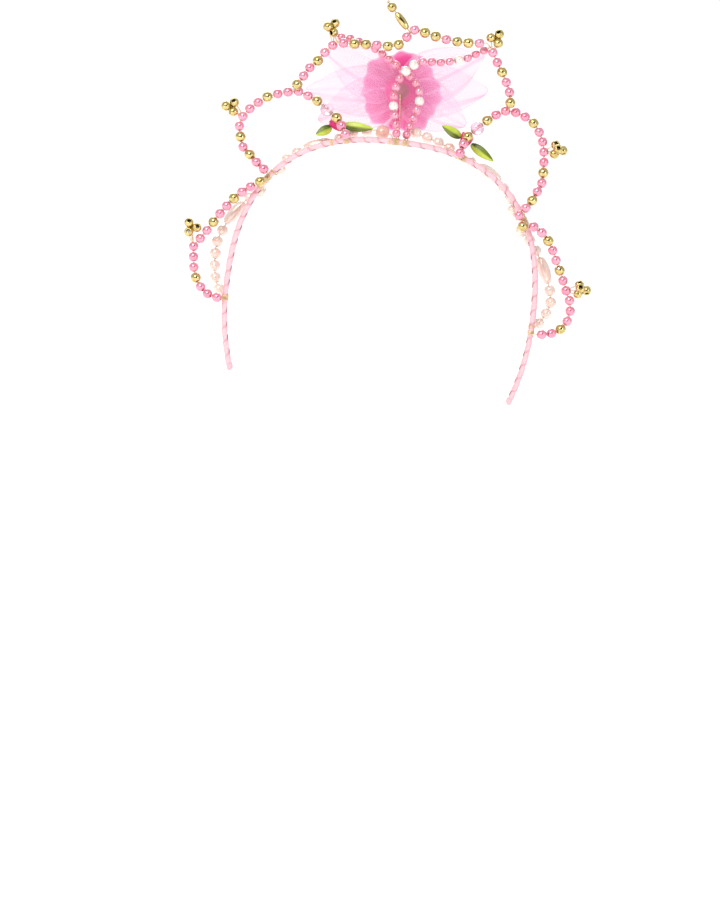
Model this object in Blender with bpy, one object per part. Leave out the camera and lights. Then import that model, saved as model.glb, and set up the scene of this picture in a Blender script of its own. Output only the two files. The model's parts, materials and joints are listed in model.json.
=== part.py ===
"""A child's flower crown: a satin-wrapped headband that carries hand-bent wire arches strung with beads,
gold tips, a finial, scalloped pearl strands, an organza flower and two ribbon rosebuds.

Metres, +Z up. The wearer faces -Y, and +X is the wearer's left. The origin is the middle of the flat
facet under the top of the headband, where it rests on the head. Sizes below are millimetres and degrees.

Places on the crown are band places (s, h, y): s is the length along the band from its top, positive to
the wearer's left; h is the height above the middle of the band's thickness, outwards; y is world Y.
"""

import math

import bmesh
import bpy
from mathutils import Matrix, Vector

MM = 0.001

# Headband: a superellipse over the head, then two arms that lean in towards the ears
BAND_HALF_SPAN = 77.0
BAND_RISE = 82.0
BAND_SQUARENESS = 2.5
ARM_TIP_X = 70.0
ARM_TIP_Z = -123.0
CORE_WIDTH = 5.0
CORE_THICK = 1.2
RIBBON_THICK = 0.5
BAND_FACETS = 35  # odd, so that one facet lies flat on the head
ARM_FACETS = 4
FLEX_S = 141.0  # where each arm flexes
FLEX_GAP = 0.35
CAP_LENGTH = 4.0

# Fits
CLEAR = 0.3
FOOT_CLEAR = 0.6  # between a binding and the bead that stands on it
BINDING_CLEAR = 0.5  # a straight binding round a curved band
SPIN_CLEAR = 0.35  # round a wire, in a bead that turns
LOOSE_END_CLEAR = 0.36  # at each end of a bead that turns
FINIAL_CLEAR = 0.25  # at least, between the finial and the chain's beads

# Wires
STRAND_WIRE_R = 0.8
BARE_WIRE_R = 0.45
FINIAL_WIRE_R = 0.35
FLOWER_WIRE_R = 0.6
BINDING_LENGTH = 2.0
BINDING_THICK = 0.5

# Beads: length along the wire and diameter across it
BEADS = {
    "p": (5.0, 5.0),  # pink pearl
    "g": (5.3, 5.3),  # gold
    "q": (4.3, 4.3),  # small pink pearl of the inner chains
    "w": (4.9, 4.9),  # cream pearl
    "i": (5.7, 5.7),  # ivory round
    "o": (15.0, 6.2),  # ivory oval
}
CRYSTAL_LENGTH, CRYSTAL_D = 6.6, 6.8
PEACH_LENGTH, PEACH_D = 7.4, 7.6
ROUND_RINGS = (40, 90, 140)  # where a bead's rings lie, in degrees from its end
OVAL_RINGS = (25, 55, 90, 125, 155)
LONG_BEAD = 8.0
LOOSE_BEADS = {"C": CRYSTAL_LENGTH, "P": PEACH_LENGTH}
GOLD_TIP_D = 4.8
GOLD_TIP_PITCH = 4.6
TIP_REACH = 16.0
TIP_SWELL = 1.06  # faceted balls drawn a little full, so that they meet

# Finial, leaning from the middle of the top chain
FINIAL_AFTER = 6  # the chain's bead before its foot
FINIAL_LEAN = 43.0
FINIAL_START = 2.0  # or more, where the chain's beads need it
OVAL_LENGTH, OVAL_D = 10.4, 4.2
BALL_D = 5.0
FINIAL_SPACER = 0.5

# Flower
FLOWER_AT = (2.5, 27.0)
FLOWER_BACK_Y = -10.8
BACKING_D, BACKING_THICK = 16.0, 1.0
PETAL_THICK = 0.45
PETAL_STEP = 1.1
PETAL_ROOT_R = 2.8
OUTER_CUP, OUTER_CUP_R = 7.0, 48.0
INNER_CUP, INNER_CUP_R = 10.0, 20.0
INNER_FORWARD = 1.4
# angle from the wearer's left, length, width, layer
OUTER_PETALS = [
    (22.0, 42.0, 27.0, 0),
    (-6.0, 48.0, 26.0, 1),
    (-26.0, 44.0, 26.0, 2),
    (200.0, 37.0, 26.0, 0),
    (149.0, 46.0, 28.0, 1),
    (172.0, 44.0, 27.0, 2),
]
INNER_PETALS = [(50.0, 21.0, 24.0, 0), (135.0, 20.0, 23.0, 1), (230.0, 21.0, 24.0, 0), (315.0, 20.0, 23.0, 1)]
BUD_R, BUD_STALK_R, BUD_LENGTH = 5.0, 1.8, 15.6

# Rosebuds and their leaves
ROSE_D = 7.2
ROSE_RINGS = 6
STALK_R = 0.8
STALK_CLEAR = 0.9  # under a leaning stalk
STALK_Y = -2.2
LEAF_WIDTH, LEAF_THICK = 4.8, 1.3

# Depths that follow from the fits
RIBBON_WALL = CLEAR + RIBBON_THICK
BAND_HALF_T = CORE_THICK / 2 + RIBBON_WALL
BAND_HALF_W = CORE_WIDTH / 2 + RIBBON_WALL
BINDING_WALL = BINDING_CLEAR + BINDING_THICK
REAR = BAND_HALF_W + BINDING_WALL + FOOT_CLEAR + BEADS["p"][1] / 2  # a pink strand behind the band
LOW_REAR = BAND_HALF_W + FOOT_CLEAR + BEADS["p"][1] / 2
FRONT = -(BAND_HALF_W + BINDING_WALL + CLEAR + BEADS["o"][1] / 2)  # an ivory strand before it
CHAIN = 2.6  # the top chain stands this far behind the arches' plane
JOINT = 4.8  # and the top arches' feet this far

# Strands, hand-bent, so the two sides differ: route of band places, then the beads in order
STRANDS = {
    "side_arch_left": (
        [(72.2, 0.2, REAR), (78.6, 3.2, REAR - 0.3), (86.6, 7.2, 4.6), (95.7, 10.6, 2.2), (104.9, 14.2, 0.6),
         (110.0, 16.9, 0.0), (113.8, 19.2, 0.0), (118.2, 18.3, 0.0), (124.0, 17.0, 0.4), (128.6, 15.0, 1.4),
         (132.6, 11.4, 3.2), (135.0, 7.2, 5.0), (136.2, 1.4, LOW_REAR)],
        "gppgppgpppppgppp",
    ),
    "side_arch_right": (
        [(-79.2, -4.6, REAR), (-80.0, -1.2, REAR), (-82.6, 4.2, REAR - 0.4), (-90.2, 8.6, 4.4),
         (-99.5, 11.0, 2.2), (-108.5, 14.0, 0.6), (-114.4, 16.2, 0.0), (-118.2, 17.9, 0.0),
         (-123.2, 18.1, 0.0), (-128.2, 16.4, 1.0), (-131.8, 12.6, 2.8), (-133.6, 7.6, 5.0),
         (-134.4, 2.8, LOW_REAR)],
        "gppgppgpppppgpp",
    ),
    "middle_arch_left": (
        [(69.0, 1.8, REAR), (69.3, 8.6, 5.4), (69.0, 13.6, 3.6), (69.1, 18.4, 2.0), (67.2, 23.2, 1.0),
         (64.8, 28.2, 0.0), (61.2, 31.2, 0.0), (57.0, 32.0, 0.0), (51.6, 32.3, 0.0), (46.6, 30.7, 0.0),
         (42.2, 29.1, 0.0), (39.4, 25.8, 0.0), (36.7, 22.4, 0.6), (30.3, 12.5, 2.6), (28.6, 8.9, 5.0),
         (27.2, 4.9, REAR - 0.6), (25.6, 0.4, REAR)],
        "ppgpgppppgppppgCgppp",
    ),
    "middle_arch_right": (
        [(-75.0, -3.8, REAR), (-73.8, -1.0, REAR), (-72.2, 3.0, REAR), (-70.7, 7.4, 5.6), (-68.7, 11.6, 4.0),
         (-67.0, 15.7, 2.6), (-64.3, 19.2, 1.4), (-61.4, 22.7, 0.4), (-58.2, 26.6, 0.0), (-55.0, 30.0, 0.0),
         (-49.9, 33.3, 0.0), (-44.4, 33.2, 0.0), (-39.8, 31.0, 0.0), (-37.4, 27.0, 0.0), (-35.5, 22.8, 0.6),
         (-31.0, 11.4, 2.6), (-30.4, 7.4, 5.0), (-30.2, 3.4, REAR - 0.4), (-30.8, -1.0, REAR)],
        "ppgppgppppgppppgCgppp",
    ),
    "top_arch_left": (
        [(43.0, 30.5, JOINT), (40.2, 33.3, 4.4), (36.6, 38.0, 2.6), (33.3, 41.0, 1.0), (30.6, 44.6, 0.0),
         (26.6, 49.2, 0.0)],
        "gppgpp",
    ),
    "top_arch_right": (
        [(-39.9, 32.4, JOINT), (-39.2, 35.4, 4.4), (-37.0, 40.4, 2.6), (-32.8, 46.7, 1.0), (-29.4, 51.7, 0.0),
         (-27.0, 56.0, 0.0)],
        "gppgpp",
    ),
    "top_chain": (
        [(26.2, 48.5, CHAIN), (21.4, 47.5, CHAIN), (13.9, 47.1, CHAIN), (8.0, 46.8, CHAIN), (5.2, 48.2, CHAIN),
         (2.7, 51.9, CHAIN), (0.6, 55.2, CHAIN), (-1.8, 56.6, CHAIN), (-5.5, 55.3, CHAIN),
         (-13.4, 53.9, CHAIN), (-20.2, 54.8, CHAIN), (-24.9, 57.0, CHAIN)],
        "pggpggppggpggp",
    ),
    "inner_chain_left": (
        [(26.4, 51.8, -3.2), (22.2, 50.4, -3.2), (15.1, 46.1, -3.2), (8.7, 40.7, -3.2), (1.6, 34.9, -3.2),
         (-3.0, 31.6, -3.2), (-5.8, 27.0, -3.0), (-6.7, 21.5, -2.8), (-5.8, 15.5, -2.7), (-4.2, 9.4, -2.6),
         (-2.6, 1.9, -2.6)],
        "qqqqqqqqqqqqwqqqq",
    ),
    "inner_chain_right": (
        [(-26.4, 55.2, -3.2), (-23.6, 51.0, -3.0), (-21.0, 47.4, -2.0), (-17.8, 44.9, 0.0), (-12.5, 42.3, 1.2),
         (-6.5, 41.3, 2.2), (-1.9, 38.6, 2.8), (1.9, 34.2, 2.8), (4.1, 29.5, 2.8), (5.1, 22.5, 2.8),
         (4.7, 16.5, 2.8), (3.2, 10.4, 2.8), (1.6, 1.9, 2.8)],
        "qqqwqqqqwwqqqwqqq",
    ),
    "ivory_top_left": (
        [(4.4, 3.2, FRONT), (8.6, 4.9, FRONT), (14.4, 4.8, FRONT), (20.4, 4.0, FRONT), (26.6, 2.6, FRONT),
         (33.0, 0.4, FRONT)],
        "Piiii",
    ),
    "ivory_top_right": (
        [(-4.6, 6.6, FRONT), (-13.4, 4.5, FRONT), (-19.2, 3.4, FRONT), (-25.2, 2.2, FRONT), (-33.6, 0.4, FRONT)],
        "iiiii",
    ),
    "ivory_middle_left": (
        [(33.6, 0.0, FRONT), (41.4, 1.0, FRONT), (53.4, 1.2, FRONT), (60.0, 0.4, FRONT), (66.4, -2.2, FRONT)],
        "oiii",
    ),
    "ivory_middle_right": (
        [(-34.2, 0.2, FRONT), (-48.1, 0.6, FRONT), (-57.8, 0.0, FRONT), (-64.2, -0.6, FRONT),
         (-73.2, -3.6, FRONT)],
        "ioiii",
    ),
    "ivory_low_left": (
        [(76.6, -3.2, FRONT), (83.0, 1.2, FRONT), (97.4, 5.9, FRONT), (108.2, 8.4, FRONT),
         (115.0, 8.2, FRONT), (121.8, 7.2, FRONT), (128.6, 5.6, FRONT), (134.4, 2.0, FRONT)],
        "iioiiiiii",
    ),
    "ivory_low_right": (
        [(-79.8, -4.8, FRONT), (-89.0, 0.4, FRONT), (-103.1, 4.8, FRONT), (-112.6, 7.6, FRONT),
         (-119.4, 8.4, FRONT), (-125.8, 5.8, FRONT), (-131.6, 2.0, FRONT)],
        "iiioiiiii",
    ),
}

# Gold tips: strand, the point of its route that the tip stands over, the way out from it (x, y, z) and the
# way that the fourth ball points
GOLD_TIPS = {
    "side_tip_left": ("side_arch_left", 6, (0.3, 0.0, 0.95), (-0.9, 0.4, 0.1)),
    "middle_tip_left": ("middle_arch_left", 6, (0.84, 0.0, 0.54), (0.1, -1.0, 0.0)),
    "top_tip_left": ("top_arch_left", -1, (0.15, 0.0, 0.99), (0.6, -0.8, 0.1)),
    "top_tip_right": ("top_arch_right", -1, (-0.1, 0.0, 1.0), (0.0, -1.0, 0.0)),
    "middle_tip_right": ("middle_arch_right", 8, (-0.96, 0.0, 0.28), (0.0, 1.0, 0.1)),
    "side_tip_right": ("side_arch_right", 6, (-0.98, 0.0, 0.18), (0.2, 0.9, 0.2)),
}

# Bindings: band place s where a strand's feet are wound on
BINDINGS = {"binding_outer_left": 71.4, "binding_inner_left": 26.4,
            "binding_inner_right": -30.6, "binding_outer_right": -76.8}

# Rosebuds: band place of the middle. Their stalks stand on the inner bindings
ROSES = {"left": (30.1, 8.4, -4.4), "right": (-30.9, 8.8, -4.6)}

# Leaves: the rosebud that each grows from, and the band place of its point
LEAVES = {
    "leaf_outer_left": ("left", (40.4, 5.8, -1.6)),
    "leaf_inner_left": ("left", (13.3, 5.5, -2.0)),
    "leaf_inner_right": ("right", (-18.6, 12.0, -1.2)),
    "leaf_outer_right": ("right", (-46.0, 6.4, -1.6)),
}

FLOWER_WIRE = [(0.8, 0.2, -(BAND_HALF_W + CLEAR + FLOWER_WIRE_R)), (0.8, 6.0, -7.2), (1.6, 15.0, -8.6),
               (2.4, 24.0, FLOWER_BACK_Y + BACKING_THICK / 2 + CLEAR + FLOWER_WIRE_R)]

COLOURS = {
    "pink_pearl": ("F28AA0", 0.25, 0.0),
    "gold": ("DDB24A", 0.2, 1.0),
    "ivory_pearl": ("F3DCC8", 0.3, 0.0),
    "peach_bead": ("F4B9A2", 0.25, 0.0),
    "crystal": ("F2DCEC", 0.1, 0.0),
    "satin_pink": ("F4A9B4", 0.4, 0.0),
    "band_steel": ("A8A8AC", 0.4, 1.0),
    "gold_wire": ("C8A24C", 0.35, 1.0),
    "organza": ("F9D5EC", 0.5, 0.0),
    "rose_organza": ("F04FA0", 0.5, 0.0),
    "felt": ("D98DA4", 0.9, 0.0),
    "magenta_satin": ("E5006E", 0.4, 0.0),
    "leaf_satin": ("A8C92A", 0.4, 0.0),
}


def clear_scene():
    for old in list(bpy.data.objects):
        bpy.data.objects.remove(old, do_unlink=True)


def material(name):
    """The Principled material of one of COLOURS, made once."""
    found = bpy.data.materials.get(name)
    if found:
        return found
    hex_colour, roughness, metallic = COLOURS[name]
    channels = [int(hex_colour[i : i + 2], 16) / 255 for i in (0, 2, 4)]
    linear = [c / 12.92 if c <= 0.04045 else ((c + 0.055) / 1.055) ** 2.4 for c in channels]
    made = bpy.data.materials.new(name)
    made.use_nodes = True
    shader = made.node_tree.nodes["Principled BSDF"]
    shader.inputs["Base Color"].default_value = (*linear, 1.0)
    shader.inputs["Roughness"].default_value = roughness
    shader.inputs["Metallic"].default_value = metallic
    return made


def add_object(name, data, finish, matrix=None):
    made = bpy.data.objects.new(name, data)
    data.materials.append(material(finish))
    bpy.context.collection.objects.link(made)
    if matrix is not None:
        made.matrix_world = matrix
    return made


def mesh_from(bm, name, smooth=False):
    bmesh.ops.recalc_face_normals(bm, faces=bm.faces)
    mesh = bpy.data.meshes.new(name)
    bm.to_mesh(mesh)
    bm.free()
    if smooth:
        mesh.shade_smooth()
    return mesh


class Line:
    """A polyline in the XZ plane or in space, read by the length along it."""

    def __init__(self, points):
        self.points = [Vector(p) for p in points]
        self.along = [0.0]
        for a, b in zip(self.points, self.points[1:]):
            self.along.append(self.along[-1] + (b - a).length)
        self.length = self.along[-1]

    def at(self, s):
        """The point at length s, and the direction of travel there. Past an end, the end's own run goes on."""
        i = 1
        while i < len(self.along) - 1 and self.along[i] < s:
            i += 1
        a, b = self.points[i - 1], self.points[i]
        way = (b - a).normalized()
        return a + way * (s - self.along[i - 1]), way


def left_centre_line():
    """The middle of the band's thickness from its top down the wearer's left, before the seat is set to Z 0."""
    steps = 600
    points = []
    for i in range(steps + 1):
        turn = math.pi / 2 * i / steps
        x = BAND_HALF_SPAN * math.sin(turn) ** (2 / BAND_SQUARENESS)
        z = BAND_RISE * (math.cos(turn) ** (2 / BAND_SQUARENESS) - 1)
        points.append((x, 0.0, z))
    arm_steps = 60
    for i in range(1, arm_steps + 1):
        t = i / arm_steps
        x = BAND_HALF_SPAN - (BAND_HALF_SPAN - ARM_TIP_X) * t * t
        points.append((x, 0.0, -BAND_RISE + (ARM_TIP_Z + BAND_RISE) * t))
    return Line(points)


CENTRE = left_centre_line()
FACET = 2 * (FLEX_S - FLEX_GAP) / BAND_FACETS
LIFT = BAND_HALF_T - CENTRE.at(FACET / 2)[0].z  # puts the seat facet's inner face at Z 0


def on_band(s, h, y):
    """The point of a band place, and the band's outward normal there."""
    spot, way = CENTRE.at(abs(s))
    side = -1.0 if s < 0 else 1.0
    out = Vector((-way.z * side, 0.0, way.x))
    return Vector((spot.x * side, y, spot.z + LIFT)) + out * h, out


def smooth_line(points, steps=12):
    """A Catmull-Rom curve through points, its ends' own directions kept."""
    spots = [Vector(p) for p in points]
    ends = [2 * spots[0] - spots[1], *spots, 2 * spots[-1] - spots[-2]]
    line = []
    for a, b, c, d in zip(ends, ends[1:], ends[2:], ends[3:]):
        for i in range(steps):
            t = i / steps
            line.append(
                0.5 * (2 * b + (c - a) * t + (2 * a - 5 * b + 4 * c - d) * t * t
                       + (3 * b - a - 3 * c + d) * t * t * t)
            )
    return Line([*line, spots[-1]])


def strung(length, pattern):
    """The beads that fit on a wire of this length, taken from pattern over and over: (kind, middle, length)."""
    sizes = {kind: size[0] for kind, size in BEADS.items()}
    sizes.update({kind: long + 2 * LOOSE_END_CLEAR for kind, long in LOOSE_BEADS.items()})
    kinds, used = [], 0.0
    while True:
        kind = pattern[len(kinds) % len(pattern)]
        if used + sizes[kind] > length:
            break
        kinds.append(kind)
        used += sizes[kind]
    slack = (length - used) / len(kinds)
    beads, start = [], 0.0
    for kind in kinds:
        beads.append((kind, start + (sizes[kind] + slack) / 2, sizes[kind]))
        start += sizes[kind] + slack
    return beads


def wire_object(name, points, finish, sides_level=1):
    """A closed tube through points given as (point, radius)."""
    curve = bpy.data.curves.new(name, "CURVE")
    curve.dimensions = "3D"
    curve.bevel_depth = MM
    curve.bevel_resolution = sides_level
    curve.use_fill_caps = True
    spline = curve.splines.new("POLY")
    spline.points.add(len(points) - 1)
    for spot, (place, radius) in zip(spline.points, points):
        spot.co = (*(place * MM), 1.0)
        spot.radius = radius
    return add_object(name, curve, finish)


def strand(name, route, pattern, finish):
    """A wire with its fixed beads, as one solid. Returns every bead's place: (kind, middle, direction)."""
    line = smooth_line([on_band(*place)[0] for place in route])
    beads = strung(line.length, pattern)
    start_r = BARE_WIRE_R if beads[0][0] in LOOSE_BEADS else STRAND_WIRE_R
    points, places = [(line.at(0.0)[0], start_r)], []
    for i, (kind, middle, length) in enumerate(beads):
        ends = [line.at(middle + side * length / 2)[0] for side in (-1, 1)]
        if kind in LOOSE_BEADS:
            points += [(end, BARE_WIRE_R) for end in ends]
            places.append((kind, (ends[0] + ends[1]) / 2, (ends[1] - ends[0]).normalized()))
            continue
        radius = BEADS[kind][1] / 2
        for turn in ROUND_RINGS if length < LONG_BEAD else OVAL_RINGS:
            along = middle - math.cos(math.radians(turn)) * length / 2
            points.append((line.at(along)[0], radius * math.sin(math.radians(turn))))
        places.append((kind, *line.at(middle)))
        if i + 1 < len(beads) and beads[i + 1][0] not in LOOSE_BEADS:
            points.append((ends[1], STRAND_WIRE_R))
    points.append((line.at(line.length)[0], STRAND_WIRE_R))
    wire_object(name, points, finish)
    return places


def band_ring(s, half_t, half_w):
    """The four corners of a section across the band."""
    spot, out = on_band(s, 0.0, 0.0)
    across = Vector((0.0, half_w, 0.0))
    return [(spot + out * half_t * a + across * b) * MM for a, b in ((1, 1), (1, -1), (-1, -1), (-1, 1))]


def swept_band(name, stations, half_t, half_w, finish, capped, origin=None):
    """A rectangular bar, or an open tube of that section, along the band through the stations."""
    origin = origin or Vector()
    bm = bmesh.new()
    corners = [bm.verts.new(c - origin) for c in band_ring(stations[0], half_t, half_w)]
    ring = [bm.edges.new((corners[i], corners[(i + 1) % 4])) for i in range(4)]
    if capped:
        bm.faces.new(corners)
    for s in stations[1:]:
        made = bmesh.ops.extrude_edge_only(bm, edges=ring)["geom"]
        fresh = [g for g in made if isinstance(g, bmesh.types.BMVert)]
        ring = [g for g in made if isinstance(g, bmesh.types.BMEdge)]
        places = band_ring(s, half_t, half_w)
        by_old = {}
        for vert in fresh:
            old = min(range(4), key=lambda i: (corners[i].co - vert.co).length)
            by_old[old] = vert
        corners = [by_old[i] for i in range(4)]
        for vert, place in zip(corners, places):
            vert.co = place - origin
    if capped:
        bm.faces.new(corners)
    made = add_object(name, mesh_from(bm, name), finish)
    made.location = origin
    return made


def sleeve(name, stations, half_t, half_w, wall, finish, origin=None):
    """A tube of rectangular section along the band, its wall inside the given half sizes."""
    made = swept_band(name, stations, half_t, half_w, finish, capped=False, origin=origin)
    solid = made.modifiers.new("wall", "SOLIDIFY")
    solid.thickness = wall * MM
    solid.offset = -1.0
    solid.use_even_offset = True
    return made


def stations_between(start, end, facets):
    return [start + (end - start) * i / facets for i in range(facets + 1)]


def build_headband():
    """The spring core, its ribbon, and the two arms that flex, each with its ribbon and end cap."""
    half_t, half_w = CORE_THICK / 2, CORE_WIDTH / 2
    reach = FLEX_S - FLEX_GAP
    middle = stations_between(-reach, reach, BAND_FACETS)
    swept_band("headband_core", middle, half_t, half_w, "band_steel", capped=True)
    sleeve("satin_wrap", middle, BAND_HALF_T, BAND_HALF_W, RIBBON_THICK, "satin_pink")
    arm_end = CENTRE.length - CAP_LENGTH - CLEAR
    for side, word in ((1, "left"), (-1, "right")):
        pivot = on_band(side * FLEX_S, 0.0, 0.0)[0] * MM
        arm = stations_between(side * (FLEX_S + FLEX_GAP), side * arm_end, ARM_FACETS)
        swept_band(f"arm_core_{word}", arm, half_t, half_w, "band_steel", capped=True, origin=pivot)
        sleeve(f"arm_wrap_{word}", arm, BAND_HALF_T, BAND_HALF_W, RIBBON_THICK, "satin_pink", origin=pivot)
        tip = [side * (arm_end + CLEAR), side * CENTRE.length]
        cap = swept_band(f"end_cap_{word}", tip, BAND_HALF_T, BAND_HALF_W, "satin_pink", True, pivot)
        rounding = cap.modifiers.new("rounding", "BEVEL")
        rounding.width = 0.8 * MM
        rounding.segments = 2


def build_bindings():
    """Wire wound round the ribbon where strands are fastened."""
    half_t, half_w = BAND_HALF_T + BINDING_WALL, BAND_HALF_W + BINDING_WALL
    for name, s in BINDINGS.items():
        run = [s - BINDING_LENGTH / 2, s + BINDING_LENGTH / 2]
        sleeve(name, run, half_t, half_w, BINDING_THICK, "gold_wire")


def turned(profile, sides):
    """A closed profile of (radius, height) spun round Z, in millimetres."""
    bm = bmesh.new()
    verts = [bm.verts.new((radius * MM, 0.0, height * MM)) for radius, height in profile]
    edges = [bm.edges.new((a, b)) for a, b in zip(verts, verts[1:] + verts[:1])]
    bmesh.ops.spin(bm, geom=verts + edges, cent=(0, 0, 0), axis=(0, 0, 1), angle=2 * math.pi,
                   steps=sides, use_merge=True)
    bmesh.ops.remove_doubles(bm, verts=bm.verts, dist=1e-7)
    return bm


def bored_bead(name, middle, way, length, diameter, bore_r, finish, round_share=1.0, sides=12):
    """A bead with a hole, its origin at its middle and its local Z along the wire."""
    radius = diameter / 2
    steps = 6
    profile = []
    edge = math.asin(min(0.9, (bore_r + 0.25) / radius)) * round_share
    for i in range(steps + 1):
        turn = edge + (math.pi - 2 * edge) * i / steps
        profile.append((radius * math.sin(turn), -length / 2 * math.cos(turn) / math.cos(edge)))
    profile += [(bore_r, length / 2), (bore_r, -length / 2)]
    matrix = Matrix.Translation(middle * MM) @ way.to_track_quat("Z", "Y").to_matrix().to_4x4()
    return add_object(name, mesh_from(turned(profile, sides), name, True), finish, matrix)


def build_strands():
    """Every strand, and the beads that turn on them. Returns each strand's bead places."""
    placed = {}
    for name, (route, pattern) in STRANDS.items():
        finish = "ivory_pearl" if name.startswith("ivory") else "pink_pearl"
        placed[name] = strand(name, route, pattern, finish)
    bore = BARE_WIRE_R + SPIN_CLEAR
    for word in ("left", "right"):
        middle, way = next(bead[1:] for bead in placed[f"middle_arch_{word}"] if bead[0] == "C")
        bored_bead(f"crystal_{word}", middle, way, CRYSTAL_LENGTH, CRYSTAL_D, bore, "crystal", sides=8)
    middle, way = next(bead[1:] for bead in placed["ivory_top_left"] if bead[0] == "P")
    bored_bead("peach_bead", middle, way, PEACH_LENGTH, PEACH_D, bore, "peach_bead")
    return placed


def seat_distance(balls, way, placed):
    """How far along way the balls have to go to clear every bead on the strands."""
    far = 0.0
    for places in placed.values():
        for kind, spot, _ in places:
            reach = TIP_SWELL * GOLD_TIP_D / 2 + CLEAR + (BEADS[kind][1] if kind in BEADS else CRYSTAL_D) / 2
            for ball in balls:
                apart = ball - spot
                along = apart.dot(way)
                room = reach ** 2 - (apart.length_squared - along ** 2)
                if room > 0 and apart.length < TIP_REACH:
                    far = max(far, math.sqrt(room) - along)
    return far


def tip_balls(strand_name, over, way, point, placed):
    """The middles of a gold tip's four balls: three in a ring, and the fourth on them."""
    peak = on_band(*STRANDS[strand_name][0][over])[0]
    middle = min((bead[1] for bead in placed[strand_name]), key=lambda spot: (spot - peak).length)
    way, axis = Vector(way).normalized(), Vector(point).normalized()
    first, second = axis.to_track_quat("Z", "Y").to_matrix().transposed()[:2]
    ring_r = GOLD_TIP_PITCH / math.sqrt(3)
    balls = []
    for i in range(3):
        turn = 2 * math.pi * i / 3
        balls.append(middle + (first * math.cos(turn) + second * math.sin(turn)) * ring_r)
    balls.append(middle + axis * GOLD_TIP_PITCH * math.sqrt(2 / 3))
    far = seat_distance(balls, way, placed)
    return [ball + way * far for ball in balls]


def build_gold_tips(placed):
    """Each tip is four balls joined at their bores, as one solid."""
    for name, seat in GOLD_TIPS.items():
        balls = []
        for i, middle in enumerate(tip_balls(*seat, placed)):
            bm = bmesh.new()
            bmesh.ops.create_icosphere(bm, subdivisions=2, radius=GOLD_TIP_D / 2 * MM * TIP_SWELL)
            matrix = Matrix.Translation(middle * MM)
            ball = add_object(name if i == 0 else f"{name}_cutter_{i}", mesh_from(bm, name, True), "gold", matrix)
            balls.append(ball)
        for other in balls[1:]:
            other.hide_render = True
            other.display_type = "WIRE"
            union = balls[0].modifiers.new("ball", "BOOLEAN")
            union.operation = "UNION"
            union.solver = "EXACT"
            union.object = other


def finial_start(foot, way, chain):
    """How far along its axis the finial starts, so that its wire and its oval bead clear the chain's beads."""
    rings = [(0.0, FINIAL_WIRE_R)]
    for turn in OVAL_RINGS:
        along = (1 - math.cos(math.radians(turn))) * OVAL_LENGTH / 2
        rings.append((FINIAL_SPACER + along, OVAL_D / 2 * math.sin(math.radians(turn))))
    far = FINIAL_START
    for kind, spot, _ in chain:
        along = (spot - foot).dot(way)
        off_axis = (spot - foot - way * along).length
        for above, ring_r in rings:
            reach = BEADS[kind][1] / 2 + ring_r + FINIAL_CLEAR
            if off_axis < reach:
                far = max(far, along + math.sqrt(reach ** 2 - off_axis ** 2) - above)
    return far


def build_finial(chain):
    """The finial's wire stands between two beads of the top chain, and its own two beads turn on it."""
    foot = (chain[FINIAL_AFTER][1] + chain[FINIAL_AFTER + 1][1]) / 2
    lean = math.radians(FINIAL_LEAN)
    way = Vector((math.sin(lean), 0.0, math.cos(lean)))
    start = finial_start(foot, way, chain)
    oval_at = start + FINIAL_SPACER + OVAL_LENGTH / 2
    ball_at = oval_at + OVAL_LENGTH / 2 + FINIAL_SPACER + BALL_D / 2
    end = ball_at + BALL_D / 2 + CLEAR
    crimp_r, crimp_length = 2.4 * FINIAL_WIRE_R, 0.8
    points = [(start, FINIAL_WIRE_R), (end, FINIAL_WIRE_R), (end + 0.1, crimp_r), (end + crimp_length, crimp_r)]
    wire_object("finial_stem", [(foot + way * s, r) for s, r in points], "gold_wire")
    bore = FINIAL_WIRE_R + SPIN_CLEAR
    bored_bead("finial_oval", foot + way * oval_at, way, OVAL_LENGTH, OVAL_D, bore, "gold")
    bored_bead("finial_ball", foot + way * ball_at, way, BALL_D, BALL_D, bore, "gold")


def petal(name, angle, length, width, layer, start_y, cup, cup_r, finish):
    """A petal that lies on a bowl about the flower's axis, so that petals of two layers never meet."""
    bm = bmesh.new()
    bmesh.ops.create_grid(bm, x_segments=6, y_segments=4, size=0.5)
    turn = math.radians(angle)
    out, across = Vector((math.cos(turn), 0, math.sin(turn))), Vector((-math.sin(turn), 0, math.cos(turn)))
    for vert in bm.verts:
        u, v = vert.co.x + 0.5, vert.co.y * 2
        half = width / 2 * math.sin(math.pi * min(0.94, 0.1 + 0.84 * u ** 0.75)) ** 0.7
        reach = PETAL_ROOT_R + (length - PETAL_ROOT_R) * u - 0.1 * length * u * v * v
        spot = out * reach + across * half * v
        depth = cup * (spot.length / cup_r) ** 1.4
        vert.co = (Vector((FLOWER_AT[0], start_y - layer * PETAL_STEP - depth, FLOWER_AT[1])) + spot) * MM
    made = add_object(name, mesh_from(bm, name), finish)
    wall = made.modifiers.new("wall", "SOLIDIFY")
    wall.thickness = PETAL_THICK * MM
    wall.offset = 0.0
    return made


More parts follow.
